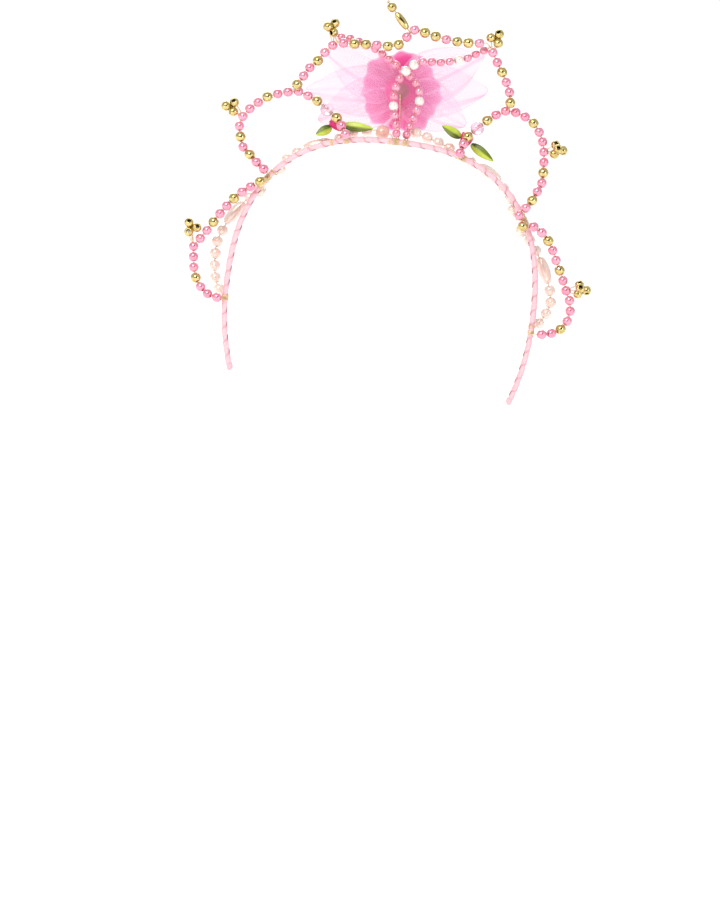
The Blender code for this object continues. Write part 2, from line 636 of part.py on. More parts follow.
def build_flower():
    disc = bmesh.new()
    bmesh.ops.create_cone(disc, cap_ends=True, segments=16, radius1=BACKING_D / 2 * MM, radius2=BACKING_D / 2 * MM,
                          depth=BACKING_THICK * MM)
    middle = Vector((FLOWER_AT[0], FLOWER_BACK_Y, FLOWER_AT[1]))
    facing = Matrix.Translation(middle * MM) @ Matrix.Rotation(math.radians(90), 4, "X")
    add_object("flower_backing", mesh_from(disc, "flower_backing"), "felt", facing)
    outer_y = FLOWER_BACK_Y - BACKING_THICK / 2 - CLEAR - PETAL_THICK / 2
    for i, shape in enumerate(OUTER_PETALS, 1):
        petal(f"outer_petal_{i}", *shape, outer_y, OUTER_CUP, OUTER_CUP_R, "organza")
    layers = 1 + max(shape[3] for shape in OUTER_PETALS)
    inner_y = outer_y - layers * PETAL_STEP - INNER_FORWARD + PETAL_STEP
    for i, shape in enumerate(INNER_PETALS, 1):
        petal(f"inner_petal_{i}", *shape, inner_y, INNER_CUP, INNER_CUP_R, "rose_organza")
    bulb = 2 * BUD_R
    profile = [(0.0, 0.0), (BUD_STALK_R, 0.0), (BUD_STALK_R, BUD_LENGTH - bulb)]
    profile += [(BUD_R * math.sin(t), BUD_LENGTH - BUD_R - BUD_R * math.cos(t))
                for t in (math.radians(a) for a in (45, 75, 105, 135, 160))]
    profile.append((0.0, BUD_LENGTH))
    bud_y = FLOWER_BACK_Y - BACKING_THICK / 2 - CLEAR
    matrix = Matrix.Translation(Vector((FLOWER_AT[0], bud_y, FLOWER_AT[1])) * MM)
    matrix @= Matrix.Rotation(math.radians(90), 4, "X")
    add_object("flower_bud", mesh_from(turned(profile, 12), "flower_bud", True), "rose_organza", matrix)
    route = smooth_line([on_band(*place)[0] for place in FLOWER_WIRE], 3)
    wire_object("flower_wire", [(spot, FLOWER_WIRE_R) for spot in route.points], "gold_wire")


def build_roses():
    """Two rosebuds on stalks from the band, each with two leaves."""
    for word, (s, h, y) in ROSES.items():
        foot = on_band(BINDINGS[f"binding_inner_{word}"], BAND_HALF_T + BINDING_WALL + STALK_CLEAR, STALK_Y)[0]
        reach = on_band(s, h, y)[0] - foot
        radius = ROSE_D / 2
        neck = math.asin(STALK_R / radius)
        profile = [(0.0, 0.0), (STALK_R, 0.0)]
        profile += [(radius * math.sin(t), reach.length - radius * math.cos(t))
                    for t in (neck + (math.pi - neck) * i / ROSE_RINGS for i in range(ROSE_RINGS))]
        profile.append((0.0, reach.length + radius))
        matrix = Matrix.Translation(foot * MM) @ reach.to_track_quat("Z", "Y").to_matrix().to_4x4()
        name = f"rosebud_{word}"
        add_object(name, mesh_from(turned(profile, 10), name, True), "magenta_satin", matrix)
    for name, (word, point) in LEAVES.items():
        rose, end = on_band(*ROSES[word])[0], on_band(*point)[0]
        start = rose + (end - rose).normalized() * (ROSE_D / 2 + CLEAR)
        bm = bmesh.new()
        bmesh.ops.create_uvsphere(bm, u_segments=8, v_segments=8, radius=0.5 * MM)
        bmesh.ops.scale(bm, vec=(LEAF_WIDTH, LEAF_THICK, (end - start).length), verts=bm.verts)
        length = (end - start).normalized()
        depth = (Vector((0, 1, 0)) - length * length.y).normalized()
        turn = Matrix((depth.cross(length), depth, length)).transposed().to_4x4()
        matrix = Matrix.Translation((start + end) / 2 * MM) @ turn
        add_object(name, mesh_from(bm, name, True), "leaf_satin", matrix)


def main():
    clear_scene()
    build_headband()
    build_bindings()
    placed = build_strands()
    build_gold_tips(placed)
    build_finial(placed["top_chain"])
    build_flower()
    build_roses()


main()
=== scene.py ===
"""The looks of a child's flower crown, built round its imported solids.

A satin-wrapped headband carries wire arches strung with pearl and gold beads, gold bead tips, a leaning
finial, ivory pearl strands, an organza flower on a felt disc and two ribbon rosebuds with satin leaves.

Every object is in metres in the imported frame: +Z up, the wearer faces -Y and +X is the wearer's left.
Sizes in the classes are millimetres and degrees. A band place (s, h, y) is the length along the headband
from its top, the height above the middle of its thickness and the world Y.
"""

import json
import logging
import math
import random
from collections.abc import Callable, Sequence
from dataclasses import dataclass, field
from enum import Enum

import bmesh
import bpy
from mathutils import Matrix, Vector, noise

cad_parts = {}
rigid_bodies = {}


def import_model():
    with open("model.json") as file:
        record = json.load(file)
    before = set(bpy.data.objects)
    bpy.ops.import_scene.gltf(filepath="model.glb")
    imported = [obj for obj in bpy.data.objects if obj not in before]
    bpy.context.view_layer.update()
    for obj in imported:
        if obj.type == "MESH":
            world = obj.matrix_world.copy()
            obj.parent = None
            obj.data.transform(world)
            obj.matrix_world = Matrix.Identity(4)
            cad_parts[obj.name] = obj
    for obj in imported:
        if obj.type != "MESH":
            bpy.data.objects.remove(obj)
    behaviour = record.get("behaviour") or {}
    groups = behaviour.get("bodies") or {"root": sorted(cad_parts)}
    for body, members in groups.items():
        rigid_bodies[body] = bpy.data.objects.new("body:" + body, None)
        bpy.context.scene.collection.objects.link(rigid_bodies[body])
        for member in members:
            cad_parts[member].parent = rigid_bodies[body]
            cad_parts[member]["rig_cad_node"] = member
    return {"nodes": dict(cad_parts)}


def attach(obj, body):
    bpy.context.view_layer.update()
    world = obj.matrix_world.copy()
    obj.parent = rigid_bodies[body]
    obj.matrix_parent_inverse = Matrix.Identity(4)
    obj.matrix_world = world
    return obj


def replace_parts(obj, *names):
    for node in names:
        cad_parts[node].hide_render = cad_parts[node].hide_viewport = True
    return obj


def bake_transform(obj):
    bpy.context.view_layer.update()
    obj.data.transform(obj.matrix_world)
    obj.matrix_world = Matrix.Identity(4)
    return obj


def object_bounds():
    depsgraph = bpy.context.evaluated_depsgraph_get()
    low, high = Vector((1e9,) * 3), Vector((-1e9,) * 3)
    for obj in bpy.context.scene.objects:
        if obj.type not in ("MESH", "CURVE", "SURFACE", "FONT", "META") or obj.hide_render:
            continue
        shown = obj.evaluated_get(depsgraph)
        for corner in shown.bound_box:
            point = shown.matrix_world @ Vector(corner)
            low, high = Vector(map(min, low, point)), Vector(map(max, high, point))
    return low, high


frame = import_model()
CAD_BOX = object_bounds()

LOG = logging.getLogger("flower_crown")
MM = 0.001
ROOT = "crown"

BandPlace = tuple[float, float, float]


# --- Nodes and finishes ------------------------------------------------------------------------------


def linear(hex_colour: str) -> tuple[float, float, float, float]:
    """Turn an sRGB colour to the linear one that a shader takes.

    Args:
        hex_colour: Six hexadecimal digits, such as "F28AA0".

    Returns:
        Linear red, green, blue and an alpha of 1.
    """
    channels = [int(hex_colour[i : i + 2], 16) / 255 for i in (0, 2, 4)]
    red, green, blue = (c / 12.92 if c <= 0.04045 else ((c + 0.055) / 1.055) ** 2.4 for c in channels)
    return red, green, blue, 1.0


def add_node(tree: bpy.types.NodeTree, kind: str, values: dict | None = None, **links) -> bpy.types.Node:
    """Add a node with its settings and links.

    Args:
        tree: The node tree.
        kind: The node's type, without its "ShaderNode" prefix.
        values: Property names, or input names and numbers, with what to set them to.
        links: Input names, with _ for a space, and the sockets that feed them.

    Returns:
        The new node.
    """
    node = tree.nodes.new(f"ShaderNode{kind}")
    for name, value in (values or {}).items():
        if isinstance(name, str) and hasattr(node, name):
            setattr(node, name, value)
        else:
            node.inputs[name].default_value = value
    for name, socket in links.items():
        plain = name.replace("_", " ")
        key = int(plain[3:]) if plain.startswith("in ") else plain
        tree.links.new(socket, node.inputs[key])
    return node


def ramp(tree: bpy.types.NodeTree, factor: bpy.types.NodeSocket, stops: Sequence[tuple[float, str | float]]):
    """Add a colour ramp.

    Args:
        tree: The node tree.
        factor: The socket that drives it.
        stops: Positions, each with an sRGB hex colour or a plain share.

    Returns:
        The ramp's colour socket.
    """
    node = add_node(tree, "ValToRGB", Fac=factor)
    elements = node.color_ramp.elements
    while len(elements) < len(stops):
        elements.new(0.5)
    for element, (position, colour) in zip(elements, stops):
        element.position = position
        element.color = linear(colour) if isinstance(colour, str) else (colour, colour, colour, 1.0)
    return node.outputs["Color"]


def mark(tree: bpy.types.NodeTree, name: str) -> bpy.types.NodeSocket:
    """Read an attribute that a piece carries, such as the painted shading at folds, at a ribbon's lapped
    edges and on a leaf's far half.
    """
    return add_node(tree, "Attribute", {"attribute_name": name}).outputs["Fac"]


def start_material(
    name: str, sockets: dict[str, object]
) -> tuple[bpy.types.Material, bpy.types.NodeTree, bpy.types.Node]:
    """Make a material with a Principled shader.

    Args:
        name: The finish's name.
        sockets: The shader's inputs that are the same all over the surface.

    Returns:
        The material, its node tree and its shader.
    """
    made = bpy.data.materials.new(name)
    made.use_nodes = True
    tree = made.node_tree
    shader = tree.nodes["Principled BSDF"]
    for socket, value in sockets.items():
        shader.inputs[socket].default_value = value
    return made, tree, shader


def bump(tree: bpy.types.NodeTree, shader: bpy.types.Node, height: bpy.types.NodeSocket, depth_mm: float,
         strength: float) -> None:
    """Feed a shader's normal from a height.

    Args:
        tree: The node tree.
        shader: The Principled shader.
        height: A height from 0 to 1.
        depth_mm: What a height of 1 stands for.
        strength: How much of it to show.
    """
    made = add_node(tree, "Bump", {"Distance": depth_mm * MM, "Strength": strength}, Height=height)
    tree.links.new(made.outputs["Normal"], shader.inputs["Normal"])


@dataclass(frozen=True)
class PearlLacquer:
    """Pearl-essence lacquer dipped over a moulded bead: a milky depth under a hard clear gloss."""

    name: str
    pale: str
    deep: str
    essence: float = 0.62  # share of the light that the essence's flakes mirror
    subsurface: float = 0.3
    transmission: float = 0.0
    swirl_mm: float = 2.2  # size of the lacquer's cloudy swirls
    peel_mm: float = 0.5  # orange peel of the dip coat
    bore_shade: str = "B04A60"  # painted shade inside the bore

    def material(self) -> bpy.types.Material:
        """Make the material. Each bead's own tone comes from the bead_tone attribute."""
        made, tree, shader = start_material(self.name, {
            "Roughness": 0.22, "Metallic": self.essence, "Subsurface Weight": self.subsurface,
            "Subsurface Scale": 0.8 * MM, "Subsurface Radius": (1.0, 0.45, 0.4),
            "Transmission Weight": self.transmission, "Coat Weight": 1.0, "Coat Roughness": 0.04,
            "Coat IOR": 1.6,
        })
        place = add_node(tree, "TexCoord").outputs["Object"]
        cloud = add_node(tree, "TexNoise", {"Scale": 1 / (self.swirl_mm * MM), "Detail": 3.0}, Vector=place)
        tone = mark(tree, "bead_tone")
        share = add_node(tree, "Math", {"operation": "MULTIPLY_ADD", 1: 0.6, 2: -0.3},
                         in_0=cloud.outputs["Fac"])
        mixed = add_node(tree, "Math", {"operation": "ADD", "use_clamp": True}, in_0=share.outputs[0],
                         in_1=tone)
        body = ramp(tree, mixed.outputs[0], [(0.0, self.deep), (1.0, self.pale)])
        bore = mark(tree, "bore")
        # painted shade inside the bore
        bore_shade = add_node(tree, "Mix", {"data_type": "RGBA", 7: linear(self.bore_shade)}, in_0=bore, in_6=body)
        tree.links.new(bore_shade.outputs[2], shader.inputs["Base Color"])
        peel = add_node(tree, "TexNoise", {"Scale": 1 / (self.peel_mm * MM), "Detail": 2.0}, Vector=place)
        bump(tree, shader, peel.outputs["Fac"], 0.01, 0.3)
        return made


@dataclass(frozen=True)
class PlatedGold:
    """Vacuum-plated gold over a moulded bead, or drawn brass wire: a mirror with faint rubs."""

    name: str
    bright: str
    rubbed: str
    roughness: tuple[float, float] = (0.07, 0.22)
    rub_mm: float = 1.4  # size of the patches dulled by handling

    def material(self) -> bpy.types.Material:
        """Make the material."""
        made, tree, shader = start_material(self.name, {"Metallic": 1.0})
        place = add_node(tree, "TexCoord").outputs["Object"]
        rub = add_node(tree, "TexNoise", {"Scale": 1 / (self.rub_mm * MM), "Detail": 4.0},
                       Vector=place).outputs["Fac"]
        plated = ramp(tree, rub, [(0.35, self.bright), (0.75, self.rubbed)])
        bore = mark(tree, "bore")
        # near black inside the bore: painted shade
        bore_shade = add_node(tree, "Mix", {"data_type": "RGBA", 7: linear("120C04")}, in_0=bore, in_6=plated)
        tree.links.new(bore_shade.outputs[2], shader.inputs["Base Color"])
        rough = add_node(tree, "MapRange", {"From Min": 0.35, "From Max": 0.75, "To Min": self.roughness[0],
                                            "To Max": self.roughness[1]}, Value=rub)
        tree.links.new(rough.outputs["Result"], shader.inputs["Roughness"])
        grain = add_node(tree, "TexNoise", {"Scale": 1 / (0.25 * MM), "Detail": 2.0}, Vector=place)
        bump(tree, shader, grain.outputs["Fac"], 0.008, 0.3)
        return made


@dataclass(frozen=True)
class CutCrystal:
    """Pressed acrylic crystal with an iridescent coat: clear facets that flash pink and blue."""

    name: str = "iridescent_crystal"
    body: str = "FBEAF4"
    cloud: str = "F4C4DC"

    def material(self) -> bpy.types.Material:
        """Make the material."""
        made, tree, shader = start_material(self.name, {
            "Roughness": 0.03, "IOR": 1.49, "Transmission Weight": 0.82, "Thin Film Thickness": 460.0,
            "Thin Film IOR": 1.6, "Coat Weight": 0.6, "Coat Roughness": 0.03,
        })
        place = add_node(tree, "TexCoord").outputs["Object"]
        haze = add_node(tree, "TexNoise", {"Scale": 1 / (3.0 * MM), "Detail": 2.0},
                        Vector=place).outputs["Fac"]
        tree.links.new(ramp(tree, haze, [(0.35, self.body), (0.7, self.cloud)]), shader.inputs["Base Color"])
        return made


@dataclass(frozen=True)
class Satin:
    """Polyester satin: long floating threads that shine along the ribbon, with a fine rib across it."""

    name: str
    light: str
    shade: str
    roughness: float = 0.34
    thread_mm: float = 0.22  # twice the real thread spacing, so that it shows
    sheen: float = 0.35

    def material(self) -> bpy.types.Material:
        """Make the material. The UV map is in millimetres: across the ribbon, then along it."""
        made, tree, shader = start_material(self.name, {
            "Roughness": self.roughness, "Sheen Weight": self.sheen, "Sheen Roughness": 0.35,
            "Anisotropic": 0.6,
            "Specular IOR Level": 0.6, "Subsurface Weight": 0.08, "Subsurface Scale": 0.5 * MM,
        })
        uv = add_node(tree, "UVMap").outputs["UV"]
        stretched = add_node(tree, "Mapping", {"Scale": (1.0, 0.08, 1.0)}, Vector=uv).outputs["Vector"]
        slub = add_node(tree, "TexNoise", {"Scale": 1.6, "Detail": 4.0}, Vector=stretched).outputs["Fac"]
        # painted shade from the piece, pulling the colour toward the shade colour: at the band ribbon's
        # lapped edges, in a rosebud's inner turns and on a leaf's far half
        fold_and_shading = mark(tree, "fold_and_shading")
        share = add_node(tree, "Math", {"operation": "MULTIPLY_ADD", 1: 0.5, 2: -0.1}, in_0=slub)
        mixed = add_node(tree, "Math", {"operation": "ADD", "use_clamp": True}, in_0=share.outputs[0],
                         in_1=fold_and_shading)
        tree.links.new(ramp(tree, mixed.outputs[0], [(0.0, self.light), (1.0, self.shade)]),
                       shader.inputs["Base Color"])
        threads = add_node(tree, "TexWave", {"Scale": BAND_PER_MM / self.thread_mm, "Distortion": 0.6,
                                             "Detail": 1.0,
                                             "Detail Scale": 2.0}, Vector=uv)
        bump(tree, shader, threads.outputs["Fac"], 0.03, 0.4)
        return made


@dataclass(frozen=True)
class Organza:
    """Dip-dyed nylon organza: sheer, crisp, deep pink at the heart and nearly clear at the tip."""

    name: str
    stops: tuple[tuple[float, str], ...]
    cover: tuple[tuple[float, float], ...]  # share of light stopped, along the same distance from the heart
    # mixed in along the folds: painted shade on the outer petals, a painted highlight on the heart
    crease: str = "F07FC0"
    edge: str = "F9BFE0"  # the heat-sealed edge, where the nylon has melted to a bead; on the heart its pale colour is a painted highlight along the petal rims
    crease_share: float = 0.4
    rim_share: float = 0.22
    thread_mm: float = 0.35  # drawn three times as coarse as the real weave, so that it shows

    def material(self) -> bpy.types.Material:
        """Make the material. It reads the from_heart, fold and rim attributes and a UV map in millimetres.
        The colour mixed in along the folds is painted shade on the outer petals and a painted highlight on
        the heart; the folds also stop more light, as doubled cloth does.
        """
        made, tree, shader = start_material(self.name, {
            "Roughness": 0.42, "Sheen Weight": 0.4, "Sheen Roughness": 0.4, "Specular IOR Level": 0.4,
        })
        far = mark(tree, "from_heart")
        fold_and_shading = mark(tree, "fold_and_shading")
        uv = add_node(tree, "UVMap").outputs["UV"]
        uneven = add_node(tree, "TexNoise", {"Scale": 0.16, "Detail": 3.0}, Vector=uv).outputs["Fac"]
        nudge = add_node(tree, "Math", {"operation": "MULTIPLY_ADD", 1: 0.12, 2: -0.06}, in_0=uneven)
        dye = add_node(tree, "Math", {"operation": "ADD"}, in_0=far, in_1=nudge.outputs[0]).outputs[0]
        dyed = ramp(tree, dye, self.stops)
        # painted shade along the folds, and on the heart a painted highlight
        painted_fold_shading = add_node(tree, "Mix", {"data_type": "RGBA", "blend_type": "MIX", 7: linear(self.crease)},
                          in_6=dyed, in_0=fold_and_shading)
        rim = mark(tree, "rim")
        # the sealed edge's colour: a real edge, and on the heart a painted highlight
        sealed_edge_and_highlight = add_node(tree, "Mix", {"data_type": "RGBA", 7: linear(self.edge)}, in_0=rim,
                          in_6=painted_fold_shading.outputs[2])
        tree.links.new(sealed_edge_and_highlight.outputs[2], shader.inputs["Base Color"])
        warp = add_node(tree, "TexWave", {"Scale": BAND_PER_MM / self.thread_mm}, Vector=uv).outputs["Fac"]
        weft = add_node(tree, "TexWave", {"Scale": BAND_PER_MM / self.thread_mm, "bands_direction": "Y"},
                        Vector=uv)
        mesh = add_node(tree, "Math", {"operation": "MAXIMUM"}, in_0=warp,
                        in_1=weft.outputs["Fac"]).outputs[0]
        creased = add_node(tree, "Math", {"operation": "MULTIPLY_ADD", 1: self.crease_share}, in_0=fold_and_shading,
                           in_2=ramp(tree, dye, self.cover)).outputs[0]
        doubled = add_node(tree, "Math", {"operation": "MULTIPLY_ADD", 1: self.rim_share}, in_0=rim,
                           in_2=creased).outputs[0]
        open_weave = add_node(tree, "MapRange", {"To Min": 0.82, "To Max": 1.0}, Value=mesh).outputs["Result"]
        alpha = add_node(tree, "Math", {"operation": "MULTIPLY", "use_clamp": True}, in_0=doubled,
                         in_1=open_weave)
        tree.links.new(alpha.outputs[0], shader.inputs["Alpha"])
        bump(tree, shader, mesh, 0.04, 0.3)
        return made


@dataclass(frozen=True)
class Felt:
    """Pressed wool felt: matt, with short fibres lying every way, and a brown patch in the middle."""

    name: str = "rose_felt"
    light: str = "F07AAE"
    shade: str = "CE4684"
    middle_brown: str = "A8757A"
    middle_brown_mm: tuple[float, float] = (3.0, 5.2)  # distance where the brown patch starts to fade, and where it ends
    middle_mm: tuple[float, float, float] = (2.5, -10.8, 27.0)
    fibre_mm: float = 0.35

    def material(self) -> bpy.types.Material:
        """Make the material."""
        made, tree, shader = start_material(self.name,
                                            {"Roughness": 0.95, "Sheen Weight": 0.6, "Sheen Roughness": 0.6})
        place = add_node(tree, "TexCoord").outputs["Object"]
        fibre = add_node(tree, "TexNoise", {"Scale": 1 / (self.fibre_mm * MM), "Detail": 6.0,
                                            "Distortion": 1.5},
                         Vector=place).outputs["Fac"]
        middle = tuple(value * MM for value in self.middle_mm)
        apart = add_node(tree, "VectorMath", {"operation": "DISTANCE", 1: middle},
                         in_0=place).outputs["Value"]
        # a brown patch round the middle, fading out between the two distances
        glued = add_node(tree, "MapRange", {
            "From Min": self.middle_brown_mm[0] * MM, "From Max": self.middle_brown_mm[1] * MM, "To Min": 0.85, "To Max": 0.0,
        }, Value=apart).outputs["Result"]
        colour = add_node(tree, "Mix", {"data_type": "RGBA", 7: linear(self.middle_brown)}, in_0=glued,
                          in_6=ramp(tree, fibre, [(0.3, self.shade), (0.7, self.light)]))
        tree.links.new(colour.outputs[2], shader.inputs["Base Color"])
        bump(tree, shader, fibre, 0.15, 0.8)
        return made


@dataclass(frozen=True)
class SpringSteel:
    """Rolled spring steel strip: grey, with fine lines along the roll."""

    name: str = "spring_steel"
    line_mm: float = 0.15

    def material(self) -> bpy.types.Material:
        """Make the material."""
        made, tree, shader = start_material(self.name, {"Metallic": 1.0, "Roughness": 0.35})
        place = add_node(tree, "TexCoord").outputs["Object"]
        lines = add_node(tree, "Mapping", {"Scale": (0.05, 1.0, 0.05)}, Vector=place).outputs["Vector"]
        grain = add_node(tree, "TexNoise", {"Scale": 1 / (self.line_mm * MM), "Detail": 3.0},
                         Vector=lines).outputs["Fac"]
        tree.links.new(ramp(tree, grain, [(0.3, "8E8E93"), (0.7, "B4B4B8")]), shader.inputs["Base Color"])
        bump(tree, shader, grain, 0.01, 0.3)
        return made


class Finish(Enum):
    """The crown's finishes, each with the record's slot that it belongs to."""

    PINK_PEARL = ("pink_pearl", PearlLacquer("pink_pearl_lacquer", "F9AFC3", "EE86A2"))
    CREAM_PEARL = ("ivory_pearl", PearlLacquer("cream_pearl_lacquer", "FDF4EC", "F6E6DA", 0.4,
                                               bore_shade="B99A86"))
    IVORY_PEARL = ("ivory_pearl", PearlLacquer("ivory_pearl_lacquer", "FFF2E6", "FCDDCC", 0.25, 0.4, 0.1,
                                               bore_shade="C79A82"))
    PEACH = ("peach_bead", PearlLacquer("peach_resin", "FFD3C3", "F9B9A4", 0.1, 0.4, 0.1, bore_shade="B86F5A"))
    GOLD = ("gold", PlatedGold("plated_gold", "E6D494", "B8A05A"))
    WIRE = ("gold_wire", PlatedGold("drawn_brass_wire", "F6E2BC", "E2C492", (0.3, 0.5), 3.0))
    CRYSTAL = ("crystal", CutCrystal())
    BAND_SATIN = ("satin_pink", Satin("pink_satin_ribbon", "FBCBD1", "E68598"))
    ROSE_SATIN = ("magenta_satin", Satin("magenta_satin_ribbon", "F0177F", "A80052", 0.3))
    LEAF_SATIN = ("leaf_satin", Satin("leaf_green_satin_ribbon", "D2E84A", "2E4808", 0.18))
    PETAL = ("organza", Organza(
        "pale_pink_organza",
        ((0.0, "F27CBE"), (0.2, "F7A9D8"), (0.5, "FACBE9"), (1.0, "FDE3F4")),
        ((0.0, 0.55), (0.2, 0.3), (0.42, 0.28), (0.6, 0.34), (1.0, 0.42))))
    HEART = ("rose_organza", Organza(
        "deep_pink_organza",
        ((0.0, "C01450"), (0.16, "DC2474"), (0.32, "E83A90"), (0.42, "F05FAC"), (1.0, "F9B8DC")),
        ((0.0, 0.98), (0.3, 0.97), (0.42, 0.94), (1.0, 0.9)), "F9B4DA", "FCD9EC", 0.02, 0.05))
    FELT = ("felt", Felt())
    STEEL = ("band_steel", SpringSteel())

    def put_on(self, piece: bpy.types.Object) -> bpy.types.Object:
        """Give a piece this finish.

        Args:
            piece: A new piece or a CAD node.

        Returns:
            The piece.
        """
        slot_name, maker = self.value
        material = bpy.data.materials.get(maker.name) or maker.material()
        piece.data.materials.clear()
        piece.data.materials.append(material)
        return piece


# --- The band's line ---------------------------------------------------------------------------------


class Line:
    """A polyline read by the length along it, in millimetres."""

    def __init__(self, points: Sequence[Sequence[float]]) -> None:
        """Keep the points and the length to each.

        Args:
            points: The polyline's points.
        """
        self.points = [Vector(p) for p in points]
        self.along = [0.0]
        for a, b in zip(self.points, self.points[1:]):
            self.along.append(self.along[-1] + (b - a).length)
        self.length = self.along[-1]

    def at(self, s: float) -> tuple[Vector, Vector]:
        """Read the line. Past an end, the end's own run goes on.

        Args:
            s: Length along the line.

        Returns:
            The point there and the direction of travel.
        """
        low, high = 1, len(self.along) - 1
        while low < high:
            middle = (low + high) // 2
            if self.along[middle] < s:
                low = middle + 1
            else:
                high = middle
        a, b = self.points[low - 1], self.points[low]
        way = (b - a).normalized()
        return a + way * (s - self.along[low - 1]), way


@dataclass(frozen=True)
class Band:
    """The headband's line and section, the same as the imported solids'."""

    half_span: float = 77.0
    rise: float = 82.0
    squareness: float = 2.5
    arm_tip_x: float = 70.0
    arm_tip_z: float = -123.0
    core_width: float = 5.0
    core_thick: float = 1.2
    ribbon_wall: float = 0.8
    facets: int = 35
    flex_s: float = 141.0
    flex_gap: float = 0.35
    curve_steps: int = 600
    arm_steps: int = 60

    def __post_init__(self) -> None:
        """Work out the line and the height that puts the seat at Z 0."""
        points = []
        for i in range(self.curve_steps + 1):
            turn = math.pi / 2 * i / self.curve_steps
            x = self.half_span * math.sin(turn) ** (2 / self.squareness)
            points.append((x, 0.0, self.rise * (math.cos(turn) ** (2 / self.squareness) - 1)))
        for i in range(1, self.arm_steps + 1):
            t = i / self.arm_steps
            x = self.half_span - (self.half_span - self.arm_tip_x) * t * t
            points.append((x, 0.0, -self.rise + (self.arm_tip_z + self.rise) * t))
        object.__setattr__(self, "line", Line(points))
        facet = 2 * (self.flex_s - self.flex_gap) / self.facets
        object.__setattr__(self, "lift", self.half_t - self.line.at(facet / 2)[0].z)

    @property
    def half_t(self) -> float:
        """Half of the wrapped band's thickness."""
        return self.core_thick / 2 + self.ribbon_wall

    @property
    def half_w(self) -> float:
        """Half of the wrapped band's width."""
        return self.core_width / 2 + self.ribbon_wall

    def at(self, s: float, h: float, y: float) -> tuple[Vector, Vector]:
        """Turn a band place to a point.

        Args:
            s: Length along the band from its top, positive to the wearer's left.
            h: Height above the middle of its thickness.
            y: World Y.

        Returns:
            The point and the band's outward normal there.
        """
        spot, way = self.line.at(abs(s))
        side = -1.0 if s < 0 else 1.0
        out = Vector((-way.z * side, 0.0, way.x))
        return Vector((spot.x * side, y, spot.z + self.lift)) + out * h, out

    def round_it(self, s: float, turn: float, proud: float) -> Vector:
        """Find a point on the wrapped band's rounded section.

        Args:
            s: Length along the band.
            turn: Angle round the section, 0 at the side that lies on the head.
            proud: How far outside the wrap's own surface.

        Returns:
            The point.
        """
        corner = 2 / 5.0
        across, up = math.sin(turn), -math.cos(turn)
        y = math.copysign(abs(across) ** corner, across) * (self.half_w + proud)
        h = math.copysign(abs(up) ** corner, up) * (self.half_t + proud)
        return self.at(s, h, y)[0]


BAND = Band()
BAND_PER_MM = 0.314  # the scale at which a wave texture makes one band in a millimetre
BINDING_WALL = 1.0
FOOT_CLEAR = 0.6
PINK_D, OVAL_D = 5.0, 6.2
REAR = BAND.half_w + BINDING_WALL + FOOT_CLEAR + PINK_D / 2  # a pink strand behind the band
LOW_REAR = BAND.half_w + FOOT_CLEAR + PINK_D / 2
FRONT = -(BAND.half_w + BINDING_WALL + 0.3 + OVAL_D / 2)  # an ivory strand before it
CHAIN = 2.6
JOINT = 4.8


def smooth_line(points: Sequence[Vector], steps: int = 12) -> Line:
    """Run a Catmull-Rom curve through points.

    Args:
        points: The route's points.
        steps: Stretches between two of them.

    Returns:
        The curve as a polyline.
    """
    ends = [2 * points[0] - points[1], *points, 2 * points[-1] - points[-2]]
    line = []
    for a, b, c, d in zip(ends, ends[1:], ends[2:], ends[3:]):
        for i in range(steps):
            t = i / steps
            line.append(0.5 * (2 * b + (c - a) * t + (2 * a - 5 * b + 4 * c - d) * t * t
                               + (3 * b - a - 3 * c + d) * t * t * t))
    return Line([*line, points[-1]])


# --- Making pieces -----------------------------------------------------------------------------------


def add_piece(name: str, data: bpy.types.ID, finish: Finish, body: str | None = ROOT) -> bpy.types.Object:
    """Put a finished mesh or curve in the scene.

    Args:
        name: The piece's name.
        data: Its mesh or curve, in the frame.
        finish: What it is finished in.
        body: The CAD body it moves with, or None to leave it unattached.

    Returns:
        The piece.
    """
    piece = bpy.data.objects.new(name, data)
    bpy.context.scene.collection.objects.link(piece)
    finish.put_on(piece)
    if body:
        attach(piece, body)
    LOG.info("%s: %s", name, finish.name.lower())
    return piece


def mesh_of(bm: bmesh.types.BMesh, name: str, smooth: bool = True) -> bpy.types.Mesh:
    """Turn a bmesh to a mesh and free it.

    Args:
        bm: The bmesh.
        name: The mesh's name.
        smooth: Whether its faces are shaded smooth.

    Returns:
        The mesh.
    """
    mesh = bpy.data.meshes.new(name)
    bm.to_mesh(mesh)
    bm.free()
    if smooth:
        mesh.shade_smooth()
    return mesh


def wire(name: str, points: Sequence[Vector], radius: float, finish: Finish = Finish.WIRE,
         body: str = ROOT) -> bpy.types.Object:
    """Make a round wire as a closed tube.

    Args:
        name: The piece's name.
        points: The wire's middle line in millimetres.
        radius: The wire's radius in millimetres.
        finish: What it is finished in.
        body: The CAD body it moves with.

    Returns:
        The piece.
    """
    curve = bpy.data.curves.new(name, "CURVE")
    curve.dimensions = "3D"
    curve.bevel_depth = radius * MM
    curve.bevel_resolution = 1
    curve.use_fill_caps = True
    spline = curve.splines.new("POLY")
    spline.points.add(len(points) - 1)
    for spot, point in zip(spline.points, points):
        spot.co = (*(point * MM), 1.0)
    return add_piece(name, curve, finish, body)


def rounded(piece: bpy.types.Object, levels: int = 1) -> bpy.types.Object:
    """Finish a piece with a Subdivision Surface.

    Args:
        piece: The piece.
        levels: Subdivision levels, the same in the viewport and in a render.

    Returns:
        The piece.
    """
    surface = piece.modifiers.new("rounding", "SUBSURF")
    surface.levels = levels
    surface.render_levels = levels
    return piece


